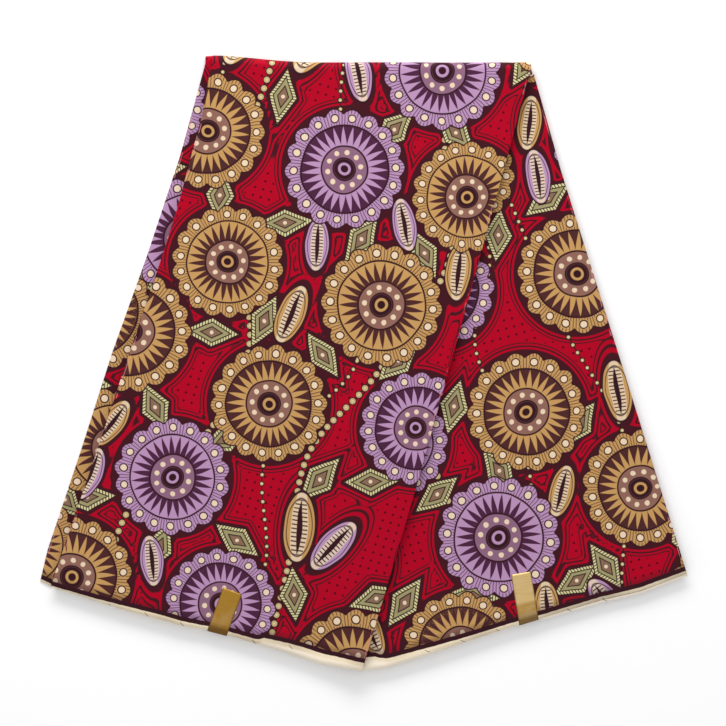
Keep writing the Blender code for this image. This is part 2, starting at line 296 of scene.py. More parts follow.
def draw_disc():
    made = Drawing(
        "disc",
        {"Place": "vector", "Main": "colour", "Shade": "colour", "Line": "colour"},
        {"Colour": "colour", "Mask": "value"},
    )
    x, y, seed = by_hand(made["Place"])
    out = length_of(x, y)
    turn = y.math("ARCTAN2", x) / TURN
    rim = (from_part(turn, SCALLOPS) * math.pi).math("COSINE") * SCALLOP_DEPTH + (DISC_RADIUS - SCALLOP_DEPTH)
    inside = rim - out

    # The outer ring: fine lines, and a dot in each scallop
    ring, radius = SCALLOP_DOT
    dot = from_dot(out, turn, SCALLOPS, ring)
    fine = stroke(from_part(turn, FINE_LINES) * out * (TURN / FINE_LINES), 0.42, 0.30)
    paint = over(made["Main"], made["Line"], fine * ramp(dot, radius + 1.6, radius + 2.2) * 0.8)
    paint = over(paint, CREAM, stroke(dot, radius))
    paint = over(paint, DARK, stroke((dot - radius - 0.6).size(), 0.55))

    # Rays, out from the middle or in from the rim
    low, high = RAY_RING
    way = (out - low) / (high - low)
    way = over_value(way, 1.0 - way, ramp(seed.part(), 0.44, 0.46))
    ray = ramp(1.0 - way - from_part(turn, RAYS) * 2.0, -0.08, 0.08)
    rays = over(made["Line"], made["Main"], ray)
    paint = over(paint, rays, ramp(out, DISC_LINES[0] + 0.4, DISC_LINES[0] - 0.4))

    # A ring of dots on the shade, and the dark middle
    ring, radius = MIDDLE_DOT
    dots = over(made["Shade"], CREAM, stroke(from_dot(out, turn, MIDDLE_DOTS, ring), radius))
    paint = over(paint, dots, ramp(out, DISC_LINES[1] + 0.4, DISC_LINES[1] - 0.4))
    paint = over(paint, DARK, ramp(out, EYE + 0.4, EYE - 0.4))
    paint = over(paint, made["Main"], stroke((out - EYE * 0.5).size(), 1.2))
    for distance in DISC_LINES:
        paint = over(paint, DARK, stroke((out - distance).size(), 0.75))
    made["Colour"] = over(paint, DARK, ramp(inside, 1.7, 1.0))
    made["Mask"] = ramp(inside, -0.4, 0.3)
    return made


disc = draw_disc()
print("disc:", len(disc.tree.nodes), "nodes")

# %% [markdown]
# ## A lozenge and a cowrie
# The lozenge is three lozenges in each other, the outer one with ticks. The cowrie is an oval shell
# with a toothed slit, an old figure on cloth and beadwork. A seed under a half makes it tan, and the
# rest are lilac.

# %% Lozenge and cowrie drawings
LOZENGE_LENGTH = 60.0
LOZENGE_HALF = 15.0
LOZENGE_DEPTH = LOZENGE_HALF * LOZENGE_LENGTH / 2 / math.hypot(LOZENGE_HALF, LOZENGE_LENGTH / 2)
LOZENGE_LINES = (4.4, 8.4)
TICKS_PER_MM = 0.36
COWRIE_LENGTH = 68.0
COWRIE_HALF = 15.0
SLIT_LENGTH = 52.0
SLIT_HALF = 2.6
TEETH_PER_MM = 0.26
LIP = 5.0


def draw_lozenge():
    made = Drawing("lozenge", {"Place": "vector"}, {"Colour": "colour", "Mask": "value"})
    x, y, _ = by_hand(made["Place"])
    inside = (1.0 - x.size() / (LOZENGE_LENGTH / 2) - y.size() / LOZENGE_HALF) * LOZENGE_DEPTH
    outer, inner = LOZENGE_LINES
    ticks = stroke(from_part(x, TICKS_PER_MM) / TICKS_PER_MM, 0.45, 0.30) * ramp(inside, outer, outer - 0.4)
    paint = over(GREEN, GREEN_SHADE, ramp(inside, outer, outer + 0.4))
    paint = over(paint, BROWN, ramp(inside, inner, inner + 0.4))
    paint = over(paint, DARK, ticks)
    for distance in LOZENGE_LINES:
        paint = over(paint, DARK, stroke((inside - distance).size(), 0.55))
    paint = over(paint, CREAM, stroke(length_of(x, y), 1.9))
    made["Colour"] = over(paint, DARK, ramp(inside, 1.4, 0.8))
    made["Mask"] = ramp(inside, -0.4, 0.3)
    return made


def draw_cowrie():
    made = Drawing("cowrie", {"Place": "vector"}, {"Colour": "colour", "Mask": "value"})
    x, y, seed = by_hand(made["Place"])
    inside = (1.0 - length_of(x / (COWRIE_LENGTH / 2), y / COWRIE_HALF)) * COWRIE_HALF
    along = x / (SLIT_LENGTH / 2)
    past_slit = y.size() - (1.0 - along * along) * SLIT_HALF
    in_slit = ramp(past_slit, 0.4, -0.4)
    teeth = stroke(from_part(x, TEETH_PER_MM) / TEETH_PER_MM, 0.60, 0.35) * ramp(past_slit, LIP, LIP - 0.6)
    own = over(TAN, LILAC, ramp(seed.part(), 0.49, 0.51))
    paint = over(own, CREAM, ramp(past_slit, LIP + 0.6, LIP) * 0.8)
    paint = over(paint, DARK, teeth.math("MAXIMUM", in_slit) * ramp(along.size(), 1.0, 0.94))
    paint = over(paint, DARK, stroke((inside - 3.4).size(), 0.40) * 0.9)
    made["Colour"] = over(paint, DARK, ramp(inside, 1.4, 0.8))
    made["Mask"] = ramp(inside, -0.4, 0.3)
    return made


lozenge = draw_lozenge()
cowrie = draw_cowrie()
print("lozenge:", len(lozenge.tree.nodes), "nodes, cowrie:", len(cowrie.tree.nodes), "nodes")

# %% [markdown]
# ## Strings of beads
# A string runs along a path, with large beads or small ones. Its place holds the distance from the
# middle of the path, the distance from its nearer end, and 0 or 1 for the kind.

# %% Bead drawing
BEAD_STEP = 9.0
BEAD = 3.2
SMALL_BEAD = 1.9


def draw_beads():
    made = Drawing("beads", {"Place": "vector"}, {"Colour": "colour", "Mask": "value"})
    across, from_end, kind = split(made["Place"])
    small = ramp(kind, 0.4, 0.6)
    radius = BEAD - small * (BEAD - SMALL_BEAD)
    from_middle = length_of(across, from_part(from_end, 1 / BEAD_STEP) * BEAD_STEP)
    inside = radius - from_middle
    made["Colour"] = over(DARK, over(BEIGE, GREEN, stroke(from_middle, 1.0, 0.6)), ramp(inside, -0.1, 0.5))
    made["Mask"] = ramp(inside, -1.2, -0.6).math("MAXIMUM", stroke(across.size(), 0.6))
    return made


beads = draw_beads()

# %% [markdown]
# ## The ground
# Round each motif the red is dark first, and then two thin lines echo its rim. `Halo` is the distance
# from the nearest motif in millimetres. Pin dots in even rows fill the rest.

# %% Ground drawing
DARK_BAND = 2.6
ECHO_LINES = ((5.6, 0.8), (8.8, 0.5))  # distance from the motif, half width
PINS_PER_MM = 0.12
PIN = 0.15
PINS_FROM = 10.4


def draw_ground():
    made = Drawing("ground", {"Cloth": "vector", "Halo": "value"}, {"Colour": "colour"})
    u, v, _ = split(made["Cloth"])
    halo = made["Halo"]
    pin = from_pin(vector(u * PINS_PER_MM, v * PINS_PER_MM))
    paint = over(RED, DEEP_RED, stroke(pin, PIN, 0.04) * ramp(halo, PINS_FROM, PINS_FROM + 1.0))
    dark = ramp(halo, DARK_BAND + 0.4, DARK_BAND - 0.4)
    for distance, half_width in ECHO_LINES:
        dark = dark.math("MAXIMUM", stroke((halo - distance).size(), half_width, 0.4))
    made["Colour"] = over(paint, DARK, dark * 0.95)
    return made


ground = draw_ground()

# %% [markdown]
# ## Selvedge, folds and weave
# Along its woven edge the cloth is bare cream, with a dark printed line where the print ends. On a
# pressed fold the ink has worn to a pale broken line. `Edge` holds two lengths in millimetres: from the
# dark line, less than nothing on the cream, and from the nearest fold. The weave is plain: threads over
# and under in turn.

# %% Selvedge, fold and weave drawings
LINE_HALF = 2.3
TICK_STEP = 37.0
CREASE = 1.6
THREADS_PER_MM = 1.6


def draw_edges():
    made = Drawing(
        "edges",
        {"Colour": "colour", "Cloth": "vector", "Edge": "vector"},
        {"Colour": "colour", "Bare": "value"},
    )
    u, v, _ = split(made["Cloth"])
    from_line, from_fold, _ = split(made["Edge"])
    wander, _ = noise(vector(u * 0.12, 0.0), 2.0)
    from_line = from_line + (wander - 0.5) * 1.2
    shade = ramp(from_line, 10.0, 3.0) * 0.45
    dark = ramp(from_line, LINE_HALF + 0.3, LINE_HALF - 0.3).math("MAXIMUM", shade)
    bare = ramp(from_line, -LINE_HALF + 0.35, -LINE_HALF - 0.35)
    second = ramp(from_fold, 300.0, 400.0)
    soil, _ = noise(vector(u * 0.3, from_line * 0.9, 4.0), 2.0)
    long_soil, _ = noise(vector(u * 0.011, 0.0, 3.0), 1.0)
    thread = stroke((from_line + 6.9 + wander * 2.0).size(), 0.25, 0.35) * ramp(soil, 0.42, 0.50) * 0.4
    tick_place = (u + from_line * 1.4) / TICK_STEP
    tick_chance, _ = noise(vector(tick_place.math("FLOOR") * 3.7, 0.0), 1.0)
    tick = stroke((tick_place.part() - 0.5).size() * TICK_STEP, 0.55, 0.3) * ramp(tick_chance, 0.52, 0.55)
    tick = tick * ramp(from_line, -3.4, -4.2) * ramp(from_line, -7.4, -6.4)
    cream = over(over(SELVEDGE, LIT_SELVEDGE, second), BROWN, ramp(soil, 0.5, 0.8) * 0.2)
    cream = over(cream, BROWN, thread + ramp(long_soil, 0.46, 0.60) * (1.0 - second) * 0.3)
    # Painted shadow: a thin brown line on the second layer, just under the edge of the sheet above.
    cream = over(cream, BROWN, stroke((from_line + 4.2).size(), 0.35, 0.4) * second * 0.8)
    # Painted highlight: the outer cream is lightened where the cloth rounds down and away from the lamp.
    cream = over(cream, LIT_SELVEDGE, ramp(from_line, -5.0, -8.0) * 0.7)
    cream = over(cream, DARK, tick * 0.8)
    dashes, _ = noise(vector(u * 0.2, v * 0.10, 6.0), 1.0)
    rubbed, _ = noise(vector(u * 0.012, v * 0.012, 9.0))
    worn = ramp(dashes, 0.46, 0.54) * ramp(rubbed, 0.52, 0.58)
    crease = stroke((from_fold - CREASE).size(), 0.35, 0.45) * worn
    paint = over(made["Colour"], PINK, crease * 0.8)
    paint = over(paint, DARK, dark)
    made["Colour"] = over(paint, cream, bare)
    made["Bare"] = bare
    return made


def draw_weave():
    made = Drawing("weave", {"Cloth": "vector"}, {"Height": "value", "Roughness": "value"})
    u, v, _ = split(made["Cloth"])
    warp = u.wave(THREADS_PER_MM * math.pi)
    weft = v.wave(THREADS_PER_MM * math.pi)
    slubs, _ = noise(vector(u * 0.5, v * 0.08, 1.0), 2.0)
    rubbed, _ = noise(vector(u * 0.03, v * 0.03, 7.0), 3.0)
    made["Height"] = warp * weft * 0.5 + slubs * 0.8
    made["Roughness"] = rubbed * 0.22 + 0.52
    return made


edges = draw_edges()
weave = draw_weave()

# %% [markdown]
# ## The printed cloth
# The drawings lie on each other as the print does: ground, beads, lozenges, cowries and discs, then the
# edges. Each one reads its place from an attribute of the piece, and the sheen of pressed cotton is on
# the shader itself.

# %% Printed cloth material
MOTIFS = (
    # attribute, drawing, its colours
    ("bead_place", beads, {}),
    ("low_lozenge_place", lozenge, {}),
    ("lozenge_place", lozenge, {}),
    ("cowrie_place", cowrie, {}),
    ("tan_place", disc, {"Main": TAN, "Shade": TAN_SHADE, "Line": TAN_LINE}),
    ("lilac_place", disc, {"Main": LILAC, "Shade": LILAC_SHADE, "Line": LILAC_LINE}),
)


def new_material(name, **shader_values):
    material = bpy.data.materials.new(name)
    material.use_nodes = True
    shader = material.node_tree.nodes["Principled BSDF"]
    for title, value in shader_values.items():
        shader.inputs[title.replace("_", " ")].default_value = value
    return material, material.node_tree, shader


def attribute(tree, name, output="Vector"):
    return Wire(add_node(tree, "ShaderNodeAttribute", {}, attribute_name=name).outputs[output])


def mapped(tree, uv_map):
    return Wire(add_node(tree, "ShaderNodeUVMap", {}, uv_map=uv_map).outputs[0])


def in_millimetres(tree, uv_map):
    scaled = add_node(tree, "ShaderNodeVectorMath", {}, operation="SCALE")
    join(mapped(tree, uv_map), scaled.inputs[0])
    scaled.inputs["Scale"].default_value = 1000.0
    return Wire(scaled.outputs[0])


def add_bump(tree, shader, height, distance, strength=1.0):
    inputs = {"Height": height, "Distance": distance, "Strength": strength}
    join(Wire(add_node(tree, "ShaderNodeBump", inputs).outputs[0]), shader.inputs["Normal"])


def printed_cotton():
    material, tree, shader = new_material(
        "wax_print_cotton", Sheen_Weight=0.01, Sheen_Roughness=0.45, Specular_IOR_Level=0.06
    )
    cloth = in_millimetres(tree, "cloth")
    halo = attribute(tree, "halo", "Fac")
    paint = place_drawing(tree, ground, Cloth=cloth, Halo=halo)("Colour")
    for name, drawing, colours in MOTIFS:
        motif = place_drawing(tree, drawing, Place=attribute(tree, name), **colours)
        paint = over(paint, motif("Colour"), motif("Mask"))
    finished = place_drawing(tree, edges, Colour=paint, Cloth=cloth, Edge=in_millimetres(tree, "edge"))
    woven = place_drawing(tree, weave, Cloth=cloth)
    join(finished("Colour"), shader.inputs["Base Color"])
    join(woven("Roughness"), shader.inputs["Roughness"])
    add_bump(tree, shader, woven("Height"), 0.00006)
    return material


cotton = printed_cotton()

# %% [markdown]
# ## The chart
# The print repeats every 580 by 690 mm. The chart is laid out like a quilt: discs in offset
# rows with a few places left open for cowries, lozenges where three discs meet, and strings of beads
# that wander up behind them all. Each row of a table is a motif: where its middle is, how large it is,
# how it is turned and its seed.

# %% Chart of motifs
REPEAT = np.array((580.0, 690.0))
TANS = (
    # x, y, room, turn, seed
    (58, 46, 65, 12, 0.1),
    (356, 34, 69, 75, 0.3),
    (427, 160, 60, 5, 0.5),
    (552, 172, 58, 33, 0.9),
    (44, 298, 66, 66, 1.2),
    (198, 268, 64, 28, 1.4),
    (278, 394, 66, 62, 1.7),
    (426, 404, 63, 18, 2.0),
    (62, 512, 63, 45, 2.3),
    (329, 522, 60, 70, 2.6),
    (552, 616, 64, 36, 3.1),
    (486, 280, 65, 10, 1.5),
    (118, 392, 61, 38, 1.9),
)
LILACS = (
    # x, y, room, turn, seed
    (208, 62, 60, 40, 0.2),
    (498, 66, 62, 20, 0.4),
    (126, 170, 63, 55, 0.6),
    (346, 286, 61, 50, 1.1),
    (204, 514, 65, 8, 2.2),
    (492, 502, 66, 30, 2.5),
    (414, 622, 61, 58, 2.8),
    (270, 636, 64, 15, 2.9),
)
LOW_LOZENGES = (
    # x, y, length, turn, seed
    (132, 98, 62, 80, 0.1),
    (276, 92, 60, 110, 0.95),
    (424, 90, 58, 95, 0.5),
    (572, 104, 58, 70, 0.3),
    (90, 232, 60, 130, 0.7),
    (268, 210, 62, 62, 0.2),
    (402, 228, 60, 70, 0.4),
    (524, 232, 60, 100, 0.6),
    (122, 320, 60, 12, 0.15),
    (236, 330, 58, -40, 0.9),
    (382, 346, 58, 120, 0.35),
    (522, 362, 62, 75, 0.55),
    (92, 454, 58, 100, 0.75),
    (240, 452, 60, 70, 0.25),
    (384, 464, 62, 40, 0.45),
    (556, 440, 58, 20, 0.65),
    (124, 566, 60, 95, 0.1),
    (300, 580, 58, -30, 0.5),
    (444, 560, 58, 24, 0.85),
    (20, 590, 58, 40, 0.3),
    (348, 668, 58, 75, 0.2),
    (484, 640, 60, 60, 0.7),
)
LOZENGES = (
    # x, y, length, turn, seed
    (206, 128, 58, -20, 0.3),
    (356, 112, 62, 35, 0.6),
    (494, 132, 58, -50, 0.2),
    (50, 126, 60, 20, 0.5),
    (166, 222, 58, 40, 0.9),
    (318, 222, 58, 18, 0.4),
    (454, 216, 58, -30, 0.1),
    (4, 222, 58, 60, 0.7),
    (170, 346, 60, 80, 0.25),
    (310, 346, 60, 60, 0.55),
    (436, 334, 60, 10, 0.35),
    (18, 366, 58, 50, 0.15),
    (162, 446, 60, 20, 0.6),
    (304, 456, 58, 130, 0.2),
    (452, 452, 58, -20, 0.95),
    (8, 446, 58, 110, 0.4),
    (240, 566, 60, 60, 0.3),
    (392, 560, 60, 80, 0.5),
    (510, 566, 60, 110, 0.1),
    (150, 690, 58, -20, 0.65),
    (78, 620, 58, 80, 0.2),
)
COWRIES = (
    # x, y, length, turn, seed
    (262, 158, 74, 100, 0.2),
    (300, 150, 66, 62, 0.7),
    (556, 340, 72, 82, 0.3),
    (580, 408, 64, -70, 0.8),
    (140, 628, 76, 75, 0.1),
    (190, 610, 62, 118, 0.6),
    (520, 420, 60, -100, 0.4),
    (194, 360, 64, 82, 0.2),
    (199, 434, 56, -78, 0.7),
    (52, 204, 58, 68, 0.1),
    (277, 478, 56, 118, 0.8),
    (66, 612, 66, -96, 0.3),
    (46, 150, 58, 84, 0.6),
    (565, 530, 56, 60, 0.4),
    (342, 448, 60, 100, 0.15),
    (130, 84, 54, -68, 0.75),
)
STRINGS = (
    # kind, then points
    (0, (100, 0), (92, 120), (150, 230), (160, 330), (92, 450), (104, 570), (100, 690)),
    (0, (270, 0), (262, 120), (250, 230), (294, 330), (330, 460), (292, 570), (270, 690)),
    (0, (450, 0), (462, 110), (400, 230), (408, 340), (470, 450), (450, 570), (450, 690)),
    (1, (30, 0), (10, 150), (-20, 300), (20, 430), (60, 560), (30, 690)),
    (1, (180, 0), (240, 100), (210, 220), (270, 330), (240, 460), (180, 580), (180, 690)),
    (1, (520, 0), (560, 100), (520, 230), (560, 340), (520, 450), (540, 570), (520, 690)),
)
STRING_STEP = 6.0
BEAD_HALO = 10.0
DISC_ROOM = 58.5  # a disc drawn at its own size has this radius in the chart, with the ground round it

# %% [markdown]
# Which motif is a point of the cloth in? Each face takes the nearest one of every kind, and its corners
# get their place in that motif. The repeat wraps round, so the shortest way to a motif may lead over
# its edge.


# %% Places in the motifs
def wrapped(difference):
    return (difference + REPEAT / 2) % REPEAT - REPEAT / 2


def smooth_path(points):
    """Points a short step apart on a soft curve through the given ones, which goes on in the next repeat."""
    rows = np.array(points, float)
    repeat = rows[-1] - rows[0]
    ends = np.vstack([rows[-2] - repeat, rows, rows[1] + repeat])
    path = []
    for a, b, c, d in zip(ends, ends[1:], ends[2:], ends[3:]):
        steps = max(int(np.linalg.norm(c - b) / STRING_STEP), 1)
        for k in range(steps):
            t = k / steps
            square, cube = 2 * a - 5 * b + 4 * c - d, 3 * b - a - 3 * c + d
            path.append(0.5 * (2 * b + (c - a) * t + square * t**2 + cube * t**3))
    return np.array(path + [rows[-1]])


def string_pieces():
    """Each short piece of a string: middle, direction, way from the start and to the end, kind."""
    made = []
    for kind, *points in STRINGS:
        path = smooth_path(points)
        steps = path[1:] - path[:-1]
        lengths = np.linalg.norm(steps, axis=1)
        done = np.concatenate([[0.0], np.cumsum(lengths)])
        for k, step in enumerate(steps):
            middle = (path[k] + path[k + 1]) / 2
            way = (done[k] + done[k + 1]) / 2
            made.append((*middle, *(step / lengths[k]), way, done[-1] - way, kind))
    return np.array(made)


STRING_PIECES = string_pieces()


def motif_places(centres, corners, face_of, motifs, natural, shape):
    """For each corner its place in the motif that is nearest to its face, and how large that motif is."""
    rows = np.array(motifs, float)
    offsets = wrapped(centres[:, None, :] - rows[None, :, :2])
    angle = np.radians(rows[:, 3])
    along = offsets[..., 0] * np.cos(angle) + offsets[..., 1] * np.sin(angle)
    across = offsets[..., 1] * np.cos(angle) - offsets[..., 0] * np.sin(angle)
    scale = rows[:, 2] / natural
    nearest = np.argmin((along / scale / shape[0]) ** 2 + (across / scale / shape[1]) ** 2, axis=1)
    pick = nearest[face_of]
    offset = offsets[np.arange(len(centres)), nearest][face_of] + corners - centres[face_of]
    cos, sin, size = np.cos(angle[pick]), np.sin(angle[pick]), scale[pick]
    x = (offset[:, 0] * cos + offset[:, 1] * sin) / size
    y = (offset[:, 1] * cos - offset[:, 0] * sin) / size
    return np.column_stack([x, y, rows[pick, 4]]), size


def bead_places(centres, corners, face_of):
    offsets = wrapped(centres[:, None, :] - STRING_PIECES[None, :, :2])
    ahead = np.abs((offsets * STRING_PIECES[None, :, 2:4]).sum(axis=2))
    beyond = np.maximum(ahead - STRING_STEP / 2, 0.0)
    aside = offsets[..., 1] * STRING_PIECES[:, 2] - offsets[..., 0] * STRING_PIECES[:, 3]
    nearest = np.argmin(aside**2 + beyond**2, axis=1)
    piece = STRING_PIECES[nearest[face_of]]
    offset = offsets[np.arange(len(centres)), nearest][face_of] + corners - centres[face_of]
    ahead = (offset * piece[:, 2:4]).sum(axis=1)
    across = offset[:, 1] * piece[:, 2] - offset[:, 0] * piece[:, 3]
    from_end = np.minimum(piece[:, 4] + ahead, piece[:, 5] - ahead)
    return np.column_stack([across, from_end, piece[:, 6]])


def disc_distance(place, size):
    return (np.hypot(place[:, 0], place[:, 1]) - DISC_RADIUS) * size


def lozenge_distance(place, size):
    x, y = np.abs(place[:, 0]) / (LOZENGE_LENGTH / 2), np.abs(place[:, 1]) / LOZENGE_HALF
    return (x + y - 1) * LOZENGE_DEPTH * size


def cowrie_distance(place, size):
    x, y = place[:, 0] / (COWRIE_LENGTH / 2), place[:, 1] / COWRIE_HALF
    return (np.hypot(x, y) - 1) * COWRIE_HALF * size


LOZENGE_SHAPE = (LOZENGE_LENGTH / 2, LOZENGE_HALF)
COWRIE_SHAPE = (COWRIE_LENGTH / 2, COWRIE_HALF)
CHARTED = (
    # attribute, rows of the chart, size of the drawing, its half sizes, its distance
    ("tan_place", TANS, DISC_ROOM, (1.0, 1.0), disc_distance),
    ("lilac_place", LILACS, DISC_ROOM, (1.0, 1.0), disc_distance),
    ("lozenge_place", LOZENGES, LOZENGE_LENGTH, LOZENGE_SHAPE, lozenge_distance),
    ("low_lozenge_place", LOW_LOZENGES, LOZENGE_LENGTH, LOZENGE_SHAPE, lozenge_distance),
    ("cowrie_place", COWRIES, COWRIE_LENGTH, COWRIE_SHAPE, cowrie_distance),
)


def set_attribute(mesh, name, kind, field, values):
    made = mesh.attributes.new(name, kind, "CORNER")
    made.data.foreach_set(field, values.astype(np.float32).ravel())


def lay_print(piece, shift):
    """Writes the places of all motifs on a piece, from its map of the cloth moved by shift millimetres."""
    mesh = piece.data
    corners = np.empty(len(mesh.loops) * 2)
    mesh.uv_layers["cloth"].data.foreach_get("uv", corners)
    corners = corners.reshape(-1, 2) * 1000.0 + np.array(shift, float)
    starts = np.empty(len(mesh.polygons), int)
    totals = np.empty(len(mesh.polygons), int)
    mesh.polygons.foreach_get("loop_start", starts)
    mesh.polygons.foreach_get("loop_total", totals)
    centres = np.add.reduceat(corners, starts, axis=0) / totals[:, None]
    face_of = np.repeat(np.arange(len(starts)), totals)
    found = {}
    halo = np.full(len(mesh.loops), np.inf)
    for name, motifs, natural, shape, distance in CHARTED:
        found[name], size = motif_places(centres, corners, face_of, motifs, natural, shape)
        halo = np.minimum(halo, distance(found[name], size))
    found["bead_place"] = bead_places(centres, corners, face_of)
    halo = np.minimum(halo, np.abs(found["bead_place"][:, 0]) + BEAD_HALO)
    for name, places in found.items():
        set_attribute(mesh, name, "FLOAT_VECTOR", "vector", places)
    set_attribute(mesh, "halo", "FLOAT", "value", halo)


# %% [markdown]
# ## Where the cloth lies
# The solids give the places, and these are their own numbers: the corners of the two halves seen from
# above, how their edges bow, and how high they lie. Edges down a half run from the fold to the
# selvedge.

# %% Plan of the halves
WALL = 0.0010
GAP = 0.0003
STACK = 0.0072
FRONT_TOP = (-0.151, 0.168)
FRONT_LOW = (Vector((-0.3130, -0.2240)), Vector((-0.0010, -0.3080)))
BACK_TOP = (-0.146, 0.170)
BACK_LOW = (Vector((0.0040, -0.3065)), Vector((0.3245, -0.2110)))
UNDER_TOP_X = -0.158
UNDER_LOW = Vector((-0.3240, -0.2190))
FOLD_Y = 0.3010
FOLD_RISE = 0.0070
FOLD_RISE_END_X = -0.050
NOSE_DEPTH = 0.0078
NOSE_HEIGHT = 0.0083
NOSE_REACH = 0.040
RAMP = 0.055
SINK = 0.0002  # how far the hidden layers keep from a sheet
BOWS = {
    "front_left": (
        (0, 0), (0.10, -0.0059), (0.18, -0.0074), (0.27, -0.0095), (0.36, -0.0092), (0.52, -0.0068),
        (0.74, -0.0044), (1, 0),
    ),
    "front_right": ((0, 0), (0.40, -0.0020), (0.70, -0.0025), (1, 0)),
    "back_right": ((0, 0), (0.20, 0.0024), (0.60, 0.0010), (1, 0)),
    "under_left": (
        (0, 0), (0.18, -0.0038), (0.37, -0.0026), (0.56, 0.0010), (0.75, 0.0010), (0.94, 0.0024), (1, 0),
    ),
    "front_low": (
        (0, 0), (0.26, 0.0034), (0.42, 0.0036), (0.51, 0.0008), (0.57, 0.0008), (0.74, 0.0021),
        (0.87, 0.0044), (1, 0),
    ),
    "back_low": (
        (0, 0), (0.07, 0.0045), (0.20, 0.0038), (0.30, 0.0025), (0.45, 0.0008), (0.73, 0.0002),
        (0.85, 0.0027), (1, 0),
    ),
    "second_low": ((0, 0.0030), (0.54, 0.0030), (0.73, 0.0034), (0.85, 0.0059), (1, 0.0022)),
    "straight": ((0, 0), (1, 0)),
}


def smooth(x):
    x = min(max(x, 0.0), 1.0)
    return x * x * (3 - 2 * x)


def mix(a, b, share):
    return a + (b - a) * share


def table(rows, x):
    for (x0, y0), (x1, y1) in zip(rows, rows[1:]):
        if x <= x1:
            return mix(y0, y1, (x - x0) / (x1 - x0))
    return rows[-1][1]


def at_height(point, z):
    return Vector((point.x, point.y, z))


def fold_line(x, inset=0.0):
    rise = 1 - smooth((x - UNDER_TOP_X) / (FOLD_RISE_END_X - UNDER_TOP_X))
    return Vector((x, FOLD_Y + FOLD_RISE * rise - inset))


def edge(start, end, bow="straight"):
    run = end - start
    right = Vector((run.y, -run.x)).normalized()
    return lambda t: start + run * t + right * table(BOWS[bow], t)


def patch(top, low, left, right):
    """A plan surface through four edges: s from left to right, t from the fold to the selvedge."""
    corners = top(0.0), top(1.0), low(0.0), low(1.0)

    def at(s, t):
        ruled = top(s) * (1 - t) + low(s) * t + left(t) * (1 - s) + right(t) * s
        flat = (corners[0] * (1 - s) + corners[1] * s) * (1 - t)
        return ruled - flat - (corners[2] * (1 - s) + corners[3] * s) * t

    return at


front_left = edge(fold_line(FRONT_TOP[0], NOSE_DEPTH), FRONT_LOW[0], "front_left")
front_right = edge(fold_line(FRONT_TOP[1], NOSE_DEPTH), FRONT_LOW[1], "front_right")
front_low = edge(*FRONT_LOW, "front_low")
back_left = edge(fold_line(BACK_TOP[0], NOSE_DEPTH), BACK_LOW[0])
back_right = edge(fold_line(BACK_TOP[1], NOSE_DEPTH), BACK_LOW[1], "back_right")
back_low = edge(*BACK_LOW, "back_low")
second_low = edge(*BACK_LOW, "second_low")
under_left = edge(fold_line(UNDER_TOP_X, NOSE_DEPTH), UNDER_LOW, "under_left")
front_plan = patch(lambda s: fold_line(mix(*FRONT_TOP, s), NOSE_DEPTH), front_low, front_left, front_right)
back_plan = patch(lambda s: fold_line(mix(*BACK_TOP, s), NOSE_DEPTH), back_low, back_left, back_right)


def past_back(point):
    """How far a plan point lies to the left of the back half's left edge."""
    start, end = back_left(0.0), back_left(1.0)
    run = (end - start).normalized()
    return (point - start).dot(Vector((run.y, -run.x)))


def front_floor(point):
    return (STACK - SINK) * (1 - smooth(past_back(point) / RAMP))


def ripple(point):
    """Slight unevenness of pressed cloth, in metres."""
    x, y = point.x, point.y
    long_waves = math.sin(21 * x + 9 * y + 0.6) + math.sin(13 * y - 31 * x + 2.0) * math.sin(17 * y + 0.4)
    return 0.00016 * long_waves + 0.00007 * math.sin(74 * x + 33 * y) * math.sin(52 * y - 18 * x + 1.1)


def front_ceiling(point):
    """The top of the layers under the front half's top sheet."""
    plain = front_floor(point) + STACK + SINK
    full = 2 * NOSE_HEIGHT - WALL - GAP
    from_fold = (fold_line(point.x).y - point.y) / NOSE_REACH
    return mix(plain, full, math.exp(-(from_fold**2)))


# %% [markdown]
# ## A folded sheet
# The sheet is laid as rows of points, from the selvedge to the fold. At a folded side a row runs on
# round a small half circle and a little way back underneath, so the side is a true fold and not a cut
# edge. Each point also remembers where it was before the cloth was folded. That flat place is its map
# of the cloth, so the print runs round a fold without a seam. Solidify then gives the sheet its
# thickness, inwards from the face that shows.

# %% Sheet of cloth
CLOTH = 0.00035
CURL = 0.00055
CURL_STEPS = 6
RETURN = 0.0045
RETURN_STEPS = 2
FOLD_DROOP = 0.00022
FOLD_SOFT = 0.0035
FAR_FROM_FOLD = 0.5
TILT_STEP = 0.003


class Strip:
    """A strip's own directions: up from its selvedge, and to the right across it."""

    def __init__(self, origin, up):
        self.origin = origin
        self.up = up.normalized()
        self.right = Vector((self.up.y, -self.up.x))

    def flat(self, point):
        away = point - self.origin
        return away.dot(self.right), away.dot(self.up)


